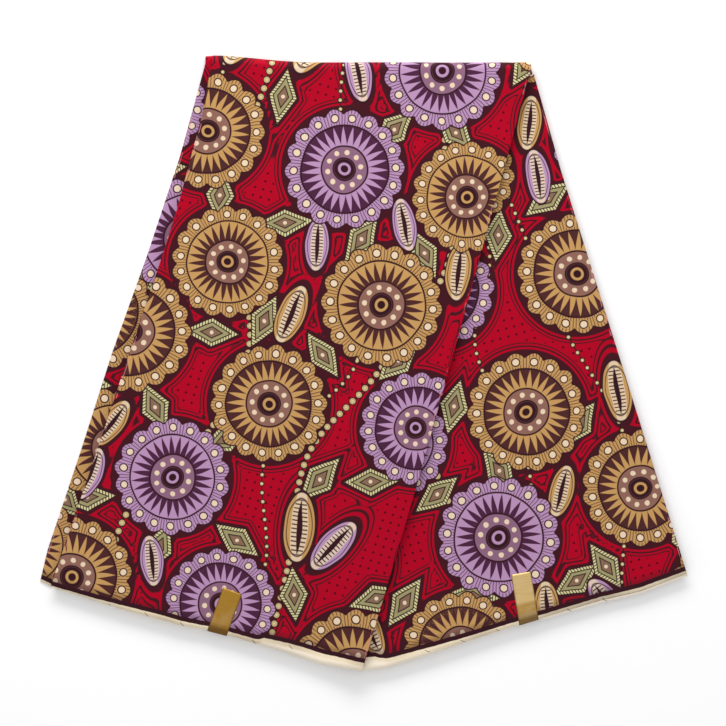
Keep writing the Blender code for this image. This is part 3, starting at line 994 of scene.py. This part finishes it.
def row_of_cloth(at, cells, folded_left, folded_right):
    """A row of (point, flat place, distance from the fold). at(s) gives a point, its normal and flat place."""
    first, _, _ = at(0.0)
    last, _, _ = at(1.0)
    width = (last - first).length
    inset = CURL / width
    low = inset if folded_left else 0.0
    high = 1 - inset if folded_right else 1.0
    row = []

    def curl(s_end, sign):
        point, normal, flat = at(s_end)
        side = (last - first).normalized() * sign
        flat_side = Vector((side.x, side.y))
        for k in range(1, CURL_STEPS + 1):
            angle = math.pi * k / CURL_STEPS
            sunk = CURL * (1 - math.cos(angle)) + FOLD_DROOP
            moved = point + side * (CURL * math.sin(angle)) - normal * sunk
            yield moved, flat + flat_side * (CURL * angle), 0.0
        for k in range(1, RETURN_STEPS + 1):
            back = RETURN * k / RETURN_STEPS
            within, inner_normal, _ = at(s_end - sign * back / width)
            drop = 2 * CURL + FOLD_DROOP * math.exp(-((back / FOLD_SOFT) ** 2))
            yield within - inner_normal * drop, flat + flat_side * (CURL * math.pi + back), back

    if folded_left:
        row += list(curl(low, -1))[::-1]
    for k in range(cells + 1):
        s = mix(low, high, k / cells)
        point, normal, flat = at(s)
        from_left = (s - low) * width if folded_left else 1.0
        from_right = (high - s) * width if folded_right else 1.0
        near = min(from_left, from_right)
        row.append((point - normal * FOLD_DROOP * math.exp(-((near / FOLD_SOFT) ** 2)), flat, near + CURL))
    if folded_right:
        row += list(curl(high, 1))
    return row


def piece_of(name, made):
    """An object from a bmesh."""
    mesh = bpy.data.meshes.new(name)
    made.to_mesh(mesh)
    made.free()
    piece = bpy.data.objects.new(name, mesh)
    bpy.context.scene.collection.objects.link(piece)
    return piece


def thicken(piece, thickness):
    """Gives a sheet its thickness, inwards from the face that shows."""
    wall = piece.modifiers.new("wall", "SOLIDIFY")
    wall.thickness = thickness
    wall.offset = -1.0
    bpy.ops.object.select_all(action="DESELECT")
    piece.select_set(True)
    bpy.context.view_layer.objects.active = piece
    bpy.ops.object.modifier_apply(modifier=wall.name)


def measure_flat(mesh):
    """A sheet's area, and its width and height, laid flat: from its map of the cloth and not its form."""
    places = [tuple(loop.uv) for loop in mesh.uv_layers["cloth"].data]
    twice = 0.0
    for face in mesh.polygons:
        corners = [places[k] for k in face.loop_indices]
        twice += sum(a[0] * b[1] - b[0] * a[1] for a, b in zip(corners, corners[1:] + corners[:1]))
    return abs(twice) / 2, [max(along) - min(along) for along in zip(*places)]


def sheet_of(name, rows, strip, from_line):
    """A sheet from rows of (point, flat place, distance from the fold), and its flat area.

    from_line(flat place) gives the distance up from the dark line of the selvedge."""
    made = bmesh.new()
    cloth_map = made.loops.layers.uv.new("cloth")
    edge_map = made.loops.layers.uv.new("edge")
    grid = [[made.verts.new(point) for point, _, _ in row] for row in rows]
    facts = {}
    for verts, row in zip(grid, rows):
        for vert, (_, flat, from_fold) in zip(verts, row):
            facts[vert] = strip.flat(flat), (from_line(flat), min(from_fold, FAR_FROM_FOLD))
    for a, b in zip(grid, grid[1:]):
        for k in range(len(a) - 1):
            face = made.faces.new([a[k], a[k + 1], b[k + 1], b[k]])
            face.smooth = True
            for loop in face.loops:
                loop[cloth_map].uv, loop[edge_map].uv = facts[loop.vert]
    piece = piece_of(name, made)
    flat_area, flat_size = measure_flat(piece.data)
    folded_area = sum(face.area for face in piece.data.polygons)
    print(name, "flat, m:", [round(size, 4) for size in flat_size], "flat area, m2:", round(flat_area, 5))
    print(name, "folded area over flat area:", round(folded_area / flat_area, 4))
    thicken(piece, CLOTH)
    return piece, flat_area


def dress(piece, material, slot, *nodes):
    piece.data.materials.clear()
    piece.data.materials.append(material)
    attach(piece, "root")
    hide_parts(*nodes)


# %% [markdown]
# ## The front half's top sheet
# It lies on its layers, goes over the fold in half an ellipse and ends just above the table. Both its
# sides are pressed folds. The dark line runs a little way in from its selvedge and steps up where the
# cream is wider.

# %% Front cloth
FRONT_ACROSS = 72
FRONT_ALONG = 124
NOSE_STEPS = 9
NOSE_END_DEG = -62.0
FRONT_LINE = (
    # share of the selvedge, millimetres from it
    (0.0, 3.6),
    (0.15, 4.6),
    (0.25, 6.5),
    (0.35, 7.4),
    (0.50, 6.2),
    (0.665, 6.5),
    (0.672, 10.0),
    (0.80, 12.9),
    (0.90, 12.8),
    (1.0, 10.6),
)
FRONT_SHIFT = (40.0, 30.0)  # where the strip lies on the chart, in millimetres


def front_top(point):
    return front_ceiling(point) + GAP + WALL + ripple(point)


def level(height, plan):
    """A row's at(s) on a height over a plan curve."""

    def at(s):
        point = plan(s)
        x, y = Vector((TILT_STEP, 0.0)), Vector((0.0, TILT_STEP))
        tilt_x = height(point - x) - height(point + x)
        tilt_y = height(point - y) - height(point + y)
        return at_height(point, height(point)), Vector((tilt_x, tilt_y, 2 * TILT_STEP)).normalized(), point

    return at


def level_rows(height, plan_at, along, across, *folded):
    """Rows from the selvedge to the fold. plan_at(t) is the plan curve at a share t of the way down."""
    return [row_of_cloth(level(height, plan_at(1 - j / along)), across, *folded) for j in range(along + 1)]


def out_and_up(angle_deg):
    return math.cos(math.radians(angle_deg)), math.sin(math.radians(angle_deg))


def over_nose(angle_deg, arc):
    """A row's at(s) round the fold."""
    out, up = out_and_up(angle_deg)
    normal = Vector((0.0, out / NOSE_DEPTH, up / NOSE_HEIGHT)).normalized()

    def at(s):
        base = front_plan(s, 0.0)
        wave = ripple(base)
        point = Vector((base.x, base.y + NOSE_DEPTH * out, NOSE_HEIGHT * (1 + up))) + normal * wave
        return point, normal, base + Vector((0.0, arc))

    return at


front_strip = Strip(FRONT_LOW[0], front_plan(0.5, 0.0) - front_plan(0.5, 1.0))
front_rows = level_rows(
    front_top, lambda t: lambda s: front_plan(s, t), FRONT_ALONG, FRONT_ACROSS, True, True
)
arc_length = 0.0
last_out, last_up = 0.0, NOSE_HEIGHT
for k in range(1, NOSE_STEPS + 1):
    angle = mix(90.0, NOSE_END_DEG, k / NOSE_STEPS)
    next_out, next_up = (size * part for size, part in zip((NOSE_DEPTH, NOSE_HEIGHT), out_and_up(angle)))
    arc_length += math.hypot(next_out - last_out, next_up - last_up)
    last_out, last_up = next_out, next_up
    front_rows.append(row_of_cloth(over_nose(angle, arc_length), FRONT_ACROSS, True, True))


def distance_to(low_edge, marks):
    """The distance from the dark line for a flat place: its height above the bowed selvedge, less a mark."""
    start, end = low_edge(0.0), low_edge(1.0)
    run = (end - start).normalized()
    up = Vector((-run.y, run.x))
    length = (end - start).length

    def from_line(flat):
        share = min(max((flat - start).dot(run) / length, 0.0), 1.0)
        above = (flat - low_edge(share)).dot(up)
        return above - table(marks, share) / 1000.0

    return from_line


front_cloth, front_area = sheet_of("front_cloth", front_rows, front_strip, distance_to(front_low, FRONT_LINE))
lay_print(front_cloth, FRONT_SHIFT)
dress(front_cloth, cotton, "print", "front_panel")

# %% [markdown]
# ## The back half's top sheet
# It comes out from under the front half, so its left side is hidden and only its right side is a fold.

# %% Back cloth
BACK_ACROSS = 70
BACK_ALONG = 118
TUCK = 0.0070
TUCK_ENDS = (0.06, 0.04)
BACK_START = 0.008
BACK_SHIFT = (330.0, 410.0)
CORNER_RUN = 0.10
CORNER_TUCK = 0.0062
BACK_LINE = (
    # share of the selvedge, millimetres from it
    (0.0, 14.3),
    (0.045, 14.2),
    (0.051, 11.3),
    (0.19, 9.3),
    (0.29, 7.4),
    (0.37, 6.6),
    (0.47, 6.0),
    (0.54, 5.2),
    (0.73, 5.0),
    (1.0, 5.4),
)


def between_ends(t, ends):
    return smooth(t / ends[0]) * smooth((1 - t) / ends[1])


def tucked_right(t):
    down = mix(BACK_START, 1.0, t)
    corner = BACK_LOW[0] - (BACK_LOW[1] - BACK_LOW[0]).normalized() * CORNER_TUCK
    to_corner = (corner - FRONT_LOW[1]) * smooth((down - 1 + CORNER_RUN) / CORNER_RUN)
    return front_right(down) - Vector((TUCK * between_ends(down, TUCK_ENDS), 0.0)) + to_corner


back_panel_plan = patch(
    lambda s: tucked_right(0.0).lerp(back_right(BACK_START), s),
    back_low,
    tucked_right,
    lambda t: back_right(mix(BACK_START, 1.0, t)),
)


def back_top(point):
    return STACK + GAP + WALL + 0.6 * ripple(point)


back_strip = Strip(BACK_LOW[0], back_plan(0.5, 0.0) - back_plan(0.5, 1.0))
back_rows = level_rows(
    back_top, lambda t: lambda s: back_panel_plan(s, t), BACK_ALONG, BACK_ACROSS, False, True
)
back_cloth, back_area = sheet_of("back_cloth", back_rows, back_strip, distance_to(back_low, BACK_LINE))
lay_print(back_cloth, BACK_SHIFT)
dress(back_cloth, cotton, "print", "back_panel")

# %% [markdown]
# ## The layer under the front half
# On the left the next layer stands out as a narrow strip, with a fold of its own that goes over the far
# end.

# %% Under cloth
UNDER_ACROSS = 5
UNDER_WALL = 0.0014
UNDER_ROUND = 0.0060
UNDER_END_DEG = -12.0
UNDER_LINE = ((0.0, 4.6), (1.0, 4.6))
UNDER_SHIFT = (455.0, 130.0)


def under_top(point):
    return front_floor(point) + UNDER_WALL + 0.5 * ripple(point)


def under_row(t):
    left = under_left(t)
    right = front_left(t) + Vector((TUCK * between_ends(t, TUCK_ENDS), 0.0))
    return lambda s: left.lerp(right, s)


def under_nose(angle_deg):
    out, up = out_and_up(angle_deg)

    def at(s):
        x = mix(UNDER_TOP_X, FRONT_TOP[0] - GAP, s)
        base = fold_line(x, UNDER_ROUND)
        top = under_top(base)
        point = Vector((x, base.y + UNDER_ROUND * out, top - UNDER_ROUND * (1 - up)))
        return point, Vector((0.0, out, up)), base + Vector((0.0, UNDER_ROUND * math.radians(90 - angle_deg)))

    return at


under_strip = Strip(UNDER_LOW, under_left(0.0) - UNDER_LOW)
under_rows = level_rows(under_top, under_row, FRONT_ALONG, UNDER_ACROSS, True, False)
for k in range(NOSE_STEPS):
    angle = mix(90.0, UNDER_END_DEG, k / (NOSE_STEPS - 1))
    under_rows.append(row_of_cloth(under_nose(angle), UNDER_ACROSS, True, False))
under_low = edge(UNDER_LOW, FRONT_LOW[0] + (FRONT_LOW[0] - UNDER_LOW))
under_cloth, under_area = sheet_of("under_cloth", under_rows, under_strip, distance_to(under_low, UNDER_LINE))
lay_print(under_cloth, UNDER_SHIFT)
dress(under_cloth, cotton, "print", "left_under_layer")

# %% [markdown]
# ## The second selvedge
# On the right the back half's second layer stands out past the first, from the label on. Only its cream
# edge shows, so it is a narrow ribbon of a few rows, and its inner rows are tucked in under the layer
# above.

# %% Second selvedge
SECOND_FIRST = 0.541
SECOND_COUNT = 40
SECOND_TUCK = 0.0080
END_INSET = 0.0032
SECOND_RUN = 0.04
SECOND_ROWS = (0.0, 0.15, 0.35, 0.6, 1.0)
SECOND_LINE = ((0.0, 7.0), (1.0, 7.0))
SECOND_SHIFT = (120.0, 260.0)
SECOND_TOP = STACK - SINK

second_strip = Strip(BACK_LOW[0], back_strip.up)
into = Vector((-(BACK_LOW[1] - BACK_LOW[0]).y, (BACK_LOW[1] - BACK_LOW[0]).x)).normalized()
second_rows = []
for share_in in SECOND_ROWS:
    row = []
    for k in range(SECOND_COUNT + 1):
        share = mix(SECOND_FIRST, 1.0, k / SECOND_COUNT)
        hidden = END_INSET + SECOND_TUCK * smooth((share - SECOND_FIRST) / SECOND_RUN)
        plan = second_low(share) + into * (hidden * share_in)
        row.append((at_height(plan, SECOND_TOP + 0.5 * ripple(plan)), plan, FAR_FROM_FOLD))
    second_rows.append(row)
second_from_line = distance_to(second_low, SECOND_LINE)
second_cloth, second_area = sheet_of("second_selvedge_cloth", second_rows, second_strip, second_from_line)
lay_print(second_cloth, SECOND_SHIFT)
dress(second_cloth, cotton, "print", "second_selvedge")

# %% [markdown]
# ## The pile
# All other layers share one closed form in the shape of a U on its side: the front half's layers, the
# turn at the fold, and the back half's layers. It is made of rings round its rim, one above another. At
# the sides four rings make a loop of folded cloth, and at the selvedges two rings make the edge of one
# layer.

# %% Pile
LAYERS = 17
ROWS = 2 * LAYERS
PILE_ACROSS = 36
PILE_FRONT = 72
PILE_NOSE = 10
PILE_BACK = 66
NOSE_MIDDLE = 0.0073
INNER_NOSE = NOSE_DEPTH - WALL - GAP
FOLD_INSET = 0.0016
LOOP_GROOVE = 0.0008
UNDERCUT = 0.0090
UNDERCUT_SHARE = 0.22
UNDERCUT_ENDS = (0.06, 0.05)
LEDGE = 0.011
LEDGE_SHARE = 0.25
LEDGE_START = 0.50
LEDGE_RUN = 0.07
ROWS_IN_LOOP = 4
LOOP_SWING = 0.0004
END_SWING = 0.0005
HAIR = 0.0001
BACK_SETTLE = 0.03
RIM_STEP = 0.0085
END_MARK = 100.0  # added to a ring's number in the map, where the cloth's ends show and not its loops
END_FROM = 60.0
PILE_STEPS = PILE_FRONT + PILE_NOSE + PILE_BACK


def way_at(j):
    """Where a step lies on the U: 0 to 1 on the front half, to 2 round the fold, to 3 on the back half."""
    if j <= PILE_FRONT:
        return j / PILE_FRONT
    if j <= PILE_FRONT + PILE_NOSE:
        return 1 + (j - PILE_FRONT) / PILE_NOSE
    return 2 + (j - PILE_FRONT - PILE_NOSE) / PILE_BACK


def pile_point(i, j, h):
    """A point of the pile: i across, j along the U, h from its innermost layer, 0, to its outermost, 1."""
    s, way = i / PILE_ACROSS, way_at(j)
    if way <= 1:
        plan = front_plan(s, 1 - way)
        lowest = NOSE_MIDDLE / (STACK - SINK) * front_floor(plan) + HAIR
        return at_height(plan, mix(lowest, front_ceiling(plan) + ripple(plan), h))
    if way < 2:
        base = front_plan(s, 0.0).lerp(back_plan(s, 0.0), way - 1)
        angle = math.radians(90 - 180 * (way - 1))
        outer = NOSE_HEIGHT + (NOSE_HEIGHT - WALL - GAP) * math.sin(angle)
        outer += ripple(base) * max(math.sin(angle), 0.0)
        return Vector((base.x, base.y + INNER_NOSE * math.cos(angle) * h, mix(NOSE_MIDDLE, outer, h)))
    plan = back_plan(s, way - 2)
    from_fold = (back_plan(s, 0.0) - plan).length
    lowest = HAIR + (WALL + GAP) * (1 - smooth(from_fold / BACK_SETTLE))
    return at_height(plan, mix(NOSE_MIDDLE - HAIR, lowest, h))


def loop_inset(row, place, side):
    """How far a ring stands in at a side: four rings make a loop, and the loops are not in line."""
    shift = 2 if side == "right" else 0
    number, step = divmod(row + shift, ROWS_IN_LOOP)
    swing = math.sin(2.4 * number + 5.0 * place + shift) + 0.6 * math.sin(5.3 * number - 11.0 * place)
    groove = LOOP_GROOVE if step == 0 else 0.12 * LOOP_GROOVE * (step % 2)
    return FOLD_INSET + LOOP_SWING * swing + groove


def end_inset(row, place):
    number = row // 2
    swing = math.sin(3.1 * number + 6.0 * place) + 0.5 * math.sin(7.7 * number + 17.0 * place)
    return END_INSET + END_SWING * swing + (LOOP_GROOVE if row % 2 == 0 else 0.0)


def rim_point(i, j, row):
    h = row / ROWS
    point = pile_point(i, j, h)
    way = way_at(j)
    moves = []
    if i in (0, PILE_ACROSS):
        inset = loop_inset(row, way, "left" if i == 0 else "right")
        if way < 1 and h < UNDERCUT_SHARE:
            inset += UNDERCUT * between_ends(1 - way, UNDERCUT_ENDS)
        moves.append((pile_point(1 if i == 0 else PILE_ACROSS - 1, j, h), inset))
    if j in (0, PILE_STEPS):
        inset = end_inset(row, i / PILE_ACROSS)
        if j == PILE_STEPS and h < LEDGE_SHARE:
            inset += LEDGE * smooth((i / PILE_ACROSS - LEDGE_START) / LEDGE_RUN)
        moves.append((pile_point(i, 1 if j == 0 else PILE_STEPS - 1, h), inset))
    moved = point.copy()
    for inner, metres in moves:
        moved += (inner - point) * (metres / (inner - point).length)
    return moved


def make_pile():
    made = bmesh.new()
    layer_map = made.loops.layers.uv.new("layers")
    rim = [(i, 0) for i in range(PILE_ACROSS)] + [(PILE_ACROSS, j) for j in range(PILE_STEPS)]
    rim += [(i, PILE_STEPS) for i in range(PILE_ACROSS, 0, -1)] + [(0, j) for j in range(PILE_STEPS, 0, -1)]
    rings = [[made.verts.new(rim_point(i, j, row)) for i, j in rim] for row in range(ROWS + 1)]
    count = len(rim)
    for row in range(ROWS):
        for k in range(count):
            n = (k + 1) % count
            face = made.faces.new([rings[row][k], rings[row][n], rings[row + 1][n], rings[row + 1][k]])
            mark = END_MARK if rim[k][1] == rim[n][1] else 0.0
            for loop, (right, up) in zip(face.loops, ((0, 0), (1, 0), (1, 1), (0, 1))):
                loop[layer_map].uv = ((k + right) * RIM_STEP, row + up + mark)
    for row, h in ((0, 0.0), (ROWS, 1.0)):
        nodes = dict(zip(rim, rings[row]))
        for i in range(1, PILE_ACROSS):
            for j in range(1, PILE_STEPS):
                nodes[i, j] = made.verts.new(pile_point(i, j, h))
        for i in range(PILE_ACROSS):
            for j in range(PILE_STEPS):
                made.faces.new([nodes[i, j], nodes[i, j + 1], nodes[i + 1, j + 1], nodes[i + 1, j]])
    bmesh.ops.recalc_face_normals(made, faces=made.faces)
    piece = piece_of("pile", made)
    piece.data.shade_smooth()
    piece.data.set_sharp_from_angle(angle=math.radians(50))
    print("pile faces:", len(piece.data.polygons))
    return piece


pile = make_pile()

# %% [markdown]
# The loops show short stretches of print seen on edge: mostly red and maroon, with bits of motif. The
# selvedges show the cream of each layer. A dark line of painted shade lies in each groove.

# %% Pile material
def draw_layers():
    made = Drawing("layer edges", {"Place": "vector"}, {"Colour": "colour", "Height": "value"})
    run, row, _ = split(made["Place"])
    is_end = ramp(row, END_FROM, END_FROM + 1.0)
    row = row - is_end * END_MARK
    loop = (row / ROWS_IN_LOOP).math("FLOOR")
    pieces = run * 55.0
    chance, _ = noise(vector(pieces, loop * 7.3), 1.0)
    fine, _ = noise(vector(run * 420.0, row * 1.3, 3.0), 1.0)
    paint = over(RED, DARK, ramp(chance, 0.40, 0.47))
    paint = over(paint, RED, ramp(chance, 0.49, 0.51))
    paint = over(paint, TAN, ramp(chance, 0.565, 0.58))
    paint = over(paint, LILAC_SHADE, ramp(chance, 0.63, 0.645))
    paint = over(paint, DARK, ramp(fine, 0.50, 0.62) * 0.7)
    # Painted shade: dark lines in the grooves between loops and between the layers' selvedges.
    groove_shade = ramp((row / ROWS_IN_LOOP - 0.5).part().math("SUBTRACT", 0.5).size(), 0.14, 0.02)
    edge_groove_shade = ramp((row / 2.0 - 0.5).part().math("SUBTRACT", 0.5).size(), 0.2, 0.05)
    paint = over(paint, over(SELVEDGE, BROWN, ramp(fine, 0.45, 0.75) * 0.4), is_end)
    made["Colour"] = over(paint, DARK, over(groove_shade, edge_groove_shade * 0.55, is_end) * 0.8)
    made["Height"] = fine
    return made


layer_edges = draw_layers()


def layered_cotton():
    material, tree, shader = new_material("folded_cotton_layers", Roughness=0.8, Sheen_Weight=0.08)
    drawn = place_drawing(tree, layer_edges, Place=mapped(tree, "layers"))
    join(drawn("Colour"), shader.inputs["Base Color"])
    add_bump(tree, shader, drawn("Height"), 0.0002)
    return material


dress(pile, layered_cotton(), "layers", "folded_layers")

# %% [markdown]
# ## The foil labels
# Each label is a strip of gold film stuck down on the cloth and folded round the selvedge. It is left
# bare. It follows the cloth with a slight crown, and near its foot it bends over, which gives foil
# bands of light and dark. More are painted into its colour: painted shade towards the foot, and a
# painted dark reflection band across the paler label.

# %% Foil labels
LABEL_WIDTH = 0.0200
FOIL = 0.00012
LABEL_ACROSS = 8
LABEL_ALONG = 26
LABEL_LIFT = 0.00022
LABEL_BEND = 0.0008
LABEL_CROWN = 0.00018
LABEL_WAVE = 0.00012
LABEL_UNDER_ROWS = 2
LABEL_UNDER_STEP = 0.0009
LABEL_ROW = 0.0018
SLOPE_SHARE = 0.02
LABELS = (
    # name, node, top x, top y, share of the selvedge, its edge, the cloth's height, how pale
    ("front_foil", "front_label", -0.1306, -0.2281, 0.536, front_low, front_top, 0.0),
    ("back_foil", "back_label", 0.1581, -0.2104, 0.505, back_low, back_top, 1.0),
)


def make_label(name, top, share, selvedge, height, tone):
    foot = selvedge(share)
    slope = (selvedge(share + SLOPE_SHARE) - selvedge(share - SLOPE_SHARE)).normalized()
    run = (foot - top).normalized()
    square = Vector((-run.y, run.x))
    wide = slope / abs(slope.dot(square))
    made = bmesh.new()
    foil_map = made.loops.layers.uv.new("foil")
    grid, places = [], {}
    for k in range(LABEL_ALONG + 1 + CURL_STEPS + LABEL_UNDER_ROWS):
        row = []
        for i in range(LABEL_ACROSS + 1):
            aside = 2 * i / LABEL_ACROSS - 1
            off = aside * LABEL_WIDTH / 2
            side = -off if square.dot(slope) < 0 else off
            start, end = top + square * side, foot + wide * off
            down = min(k / LABEL_ALONG, 1.0)
            plan = start.lerp(end, down)
            crown = LABEL_CROWN * (1 - aside**2) + LABEL_WAVE * math.sin(7 * down + 1.5 * i)
            z = height(plan) + LABEL_LIFT + crown * (1 - down**6)
            beyond = 0.0
            if k > LABEL_ALONG:
                angle = math.pi * min((k - LABEL_ALONG) / CURL_STEPS, 1.0)
                beyond = GAP + LABEL_BEND * math.sin(angle)
                z -= LABEL_BEND * (1 - math.cos(angle))
                beyond -= LABEL_UNDER_STEP * max(k - LABEL_ALONG - CURL_STEPS, 0)
            point = plan + run * beyond
            vert = made.verts.new(at_height(point, z))
            places[vert] = (off + tone, k * LABEL_ROW)
            row.append(vert)
        grid.append(row)
    for a, b in zip(grid, grid[1:]):
        for i in range(LABEL_ACROSS):
            face = made.faces.new([a[i], b[i], b[i + 1], a[i + 1]])
            face.smooth = True
            for loop in face.loops:
                loop[foil_map].uv = places[loop.vert]
    piece = piece_of(name, made)
    thicken(piece, FOIL)
    print(name, "up:", round(piece.data.polygons[0].normal.z, 2))
    return piece


def draw_foil():
    outputs = {"Colour": "colour", "Roughness": "value", "Height": "value"}
    made = Drawing("foil", {"Place": "vector"}, outputs)
    across, along, _ = split(made["Place"])
    pale = ramp(across, 0.4, 0.6)
    brushed, _ = noise(vector(across * 40.0, along * 900.0), 2.0)
    bands, _ = noise(vector(across * 60.0, along * 45.0, 5.0), 1.0)
    paint = over(GOLD, PALE_GOLD, pale)
    # Painted reflection: a darker band across the paler label above its foot.
    paint = over(paint, GOLD, pale * ramp(along, 0.027, 0.030) * ramp(along, 0.041, 0.037) * 0.7)
    paint = over(paint, CREAM, ramp(bands, 0.50, 0.70) * 0.12)
    # Brushed streaks, and painted shade towards the foot where the foil bends down over the selvedge.
    paint = over(paint, DARK_GOLD, ramp(brushed, 0.5, 0.75) * 0.25 + ramp(along, 0.035, 0.045) * 0.85)
    made["Colour"] = over(paint, DARK_GOLD, ramp((across - pale).size(), 0.0088, 0.0097) * 0.5)
    made["Roughness"] = bands * 0.15 + 0.42
    made["Height"] = brushed * 0.3 + bands * 0.4
    return made


foil = draw_foil()


def gold_foil():
    material, tree, shader = new_material("gold_foil", Metallic=0.85)
    drawn = place_drawing(tree, foil, Place=mapped(tree, "foil"))
    join(drawn("Colour"), shader.inputs["Base Color"])
    join(drawn("Roughness"), shader.inputs["Roughness"])
    add_bump(tree, shader, drawn("Height"), 0.0001)
    return material


gold = gold_foil()
foil_pieces = []
for label_name, label_node, top_x, top_y, *label_values in LABELS:
    made_label = make_label(label_name, Vector((top_x, top_y)), *label_values)
    dress(made_label, gold, "foil", label_node)
    foil_pieces.append(made_label)

# %% [markdown]
# ## The cut of what shows
# None of the sheets is a rectangle, so for each two things are measured and printed: its width and
# height laid flat, along its strip's own directions, and its flat area. The area comes from the map of the
# cloth and not from the folded form, so that a form which stretched the cloth would show.

foil_pieces[0]
foil_pieces[1]

# %% [markdown]
# ## Table and light
# The table is white. A pale, even surround gives most of the light, and one wide lamp low beyond the
# fold throws the soft shadow that lies below the selvedges.

# %% Table and light
TABLE_SIZE = 8.0
TABLE_TONES = ink(248, 248, 249), ink(252, 252, 252)
ROOM_COLOUR = (0.985, 0.99, 1.0, 1.0)
ROOM_STRENGTH = 0.80
LAMP_SIZE = (1.8, 0.7)
LAMP_WATTS = 40.0
LAMP_COLOUR = (1.0, 0.985, 0.96)
LAMP_PLACE = Vector((-0.25, 1.9, 1.0))

bpy.ops.object.select_all(action="DESELECT")
bpy.ops.mesh.primitive_plane_add(size=TABLE_SIZE, location=(0.0, 0.0, 0.0))
table_top = bpy.context.object
table_top.name = "table_top"
table_white, table_tree, table_shader = new_material("white_table", Roughness=0.6)
position = Wire(add_node(table_tree, "ShaderNodeTexCoord", {}).outputs["Object"])
tone, _ = noise(position, 2.0)
join(over(*TABLE_TONES, tone), table_shader.inputs["Base Color"])
table_top.data.materials.append(table_white)

world = bpy.data.worlds.new("pale_room")
world.use_nodes = True
surround = world.node_tree.nodes["Background"]
surround.inputs["Color"].default_value = ROOM_COLOUR
surround.inputs["Strength"].default_value = ROOM_STRENGTH
bpy.context.scene.world = world

lamp_data = bpy.data.lights.new("wide_lamp", "AREA")
lamp_data.shape = "RECTANGLE"
lamp_data.size, lamp_data.size_y = LAMP_SIZE
lamp_data.energy = LAMP_WATTS
lamp_data.color = LAMP_COLOUR
lamp = bpy.data.objects.new("wide_lamp", lamp_data)
lamp.location = LAMP_PLACE
lamp.rotation_euler = (-LAMP_PLACE).to_track_quat("-Z", "Y").to_euler()
bpy.context.scene.collection.objects.link(lamp)
bpy.context.scene.view_settings.view_transform = "Standard"
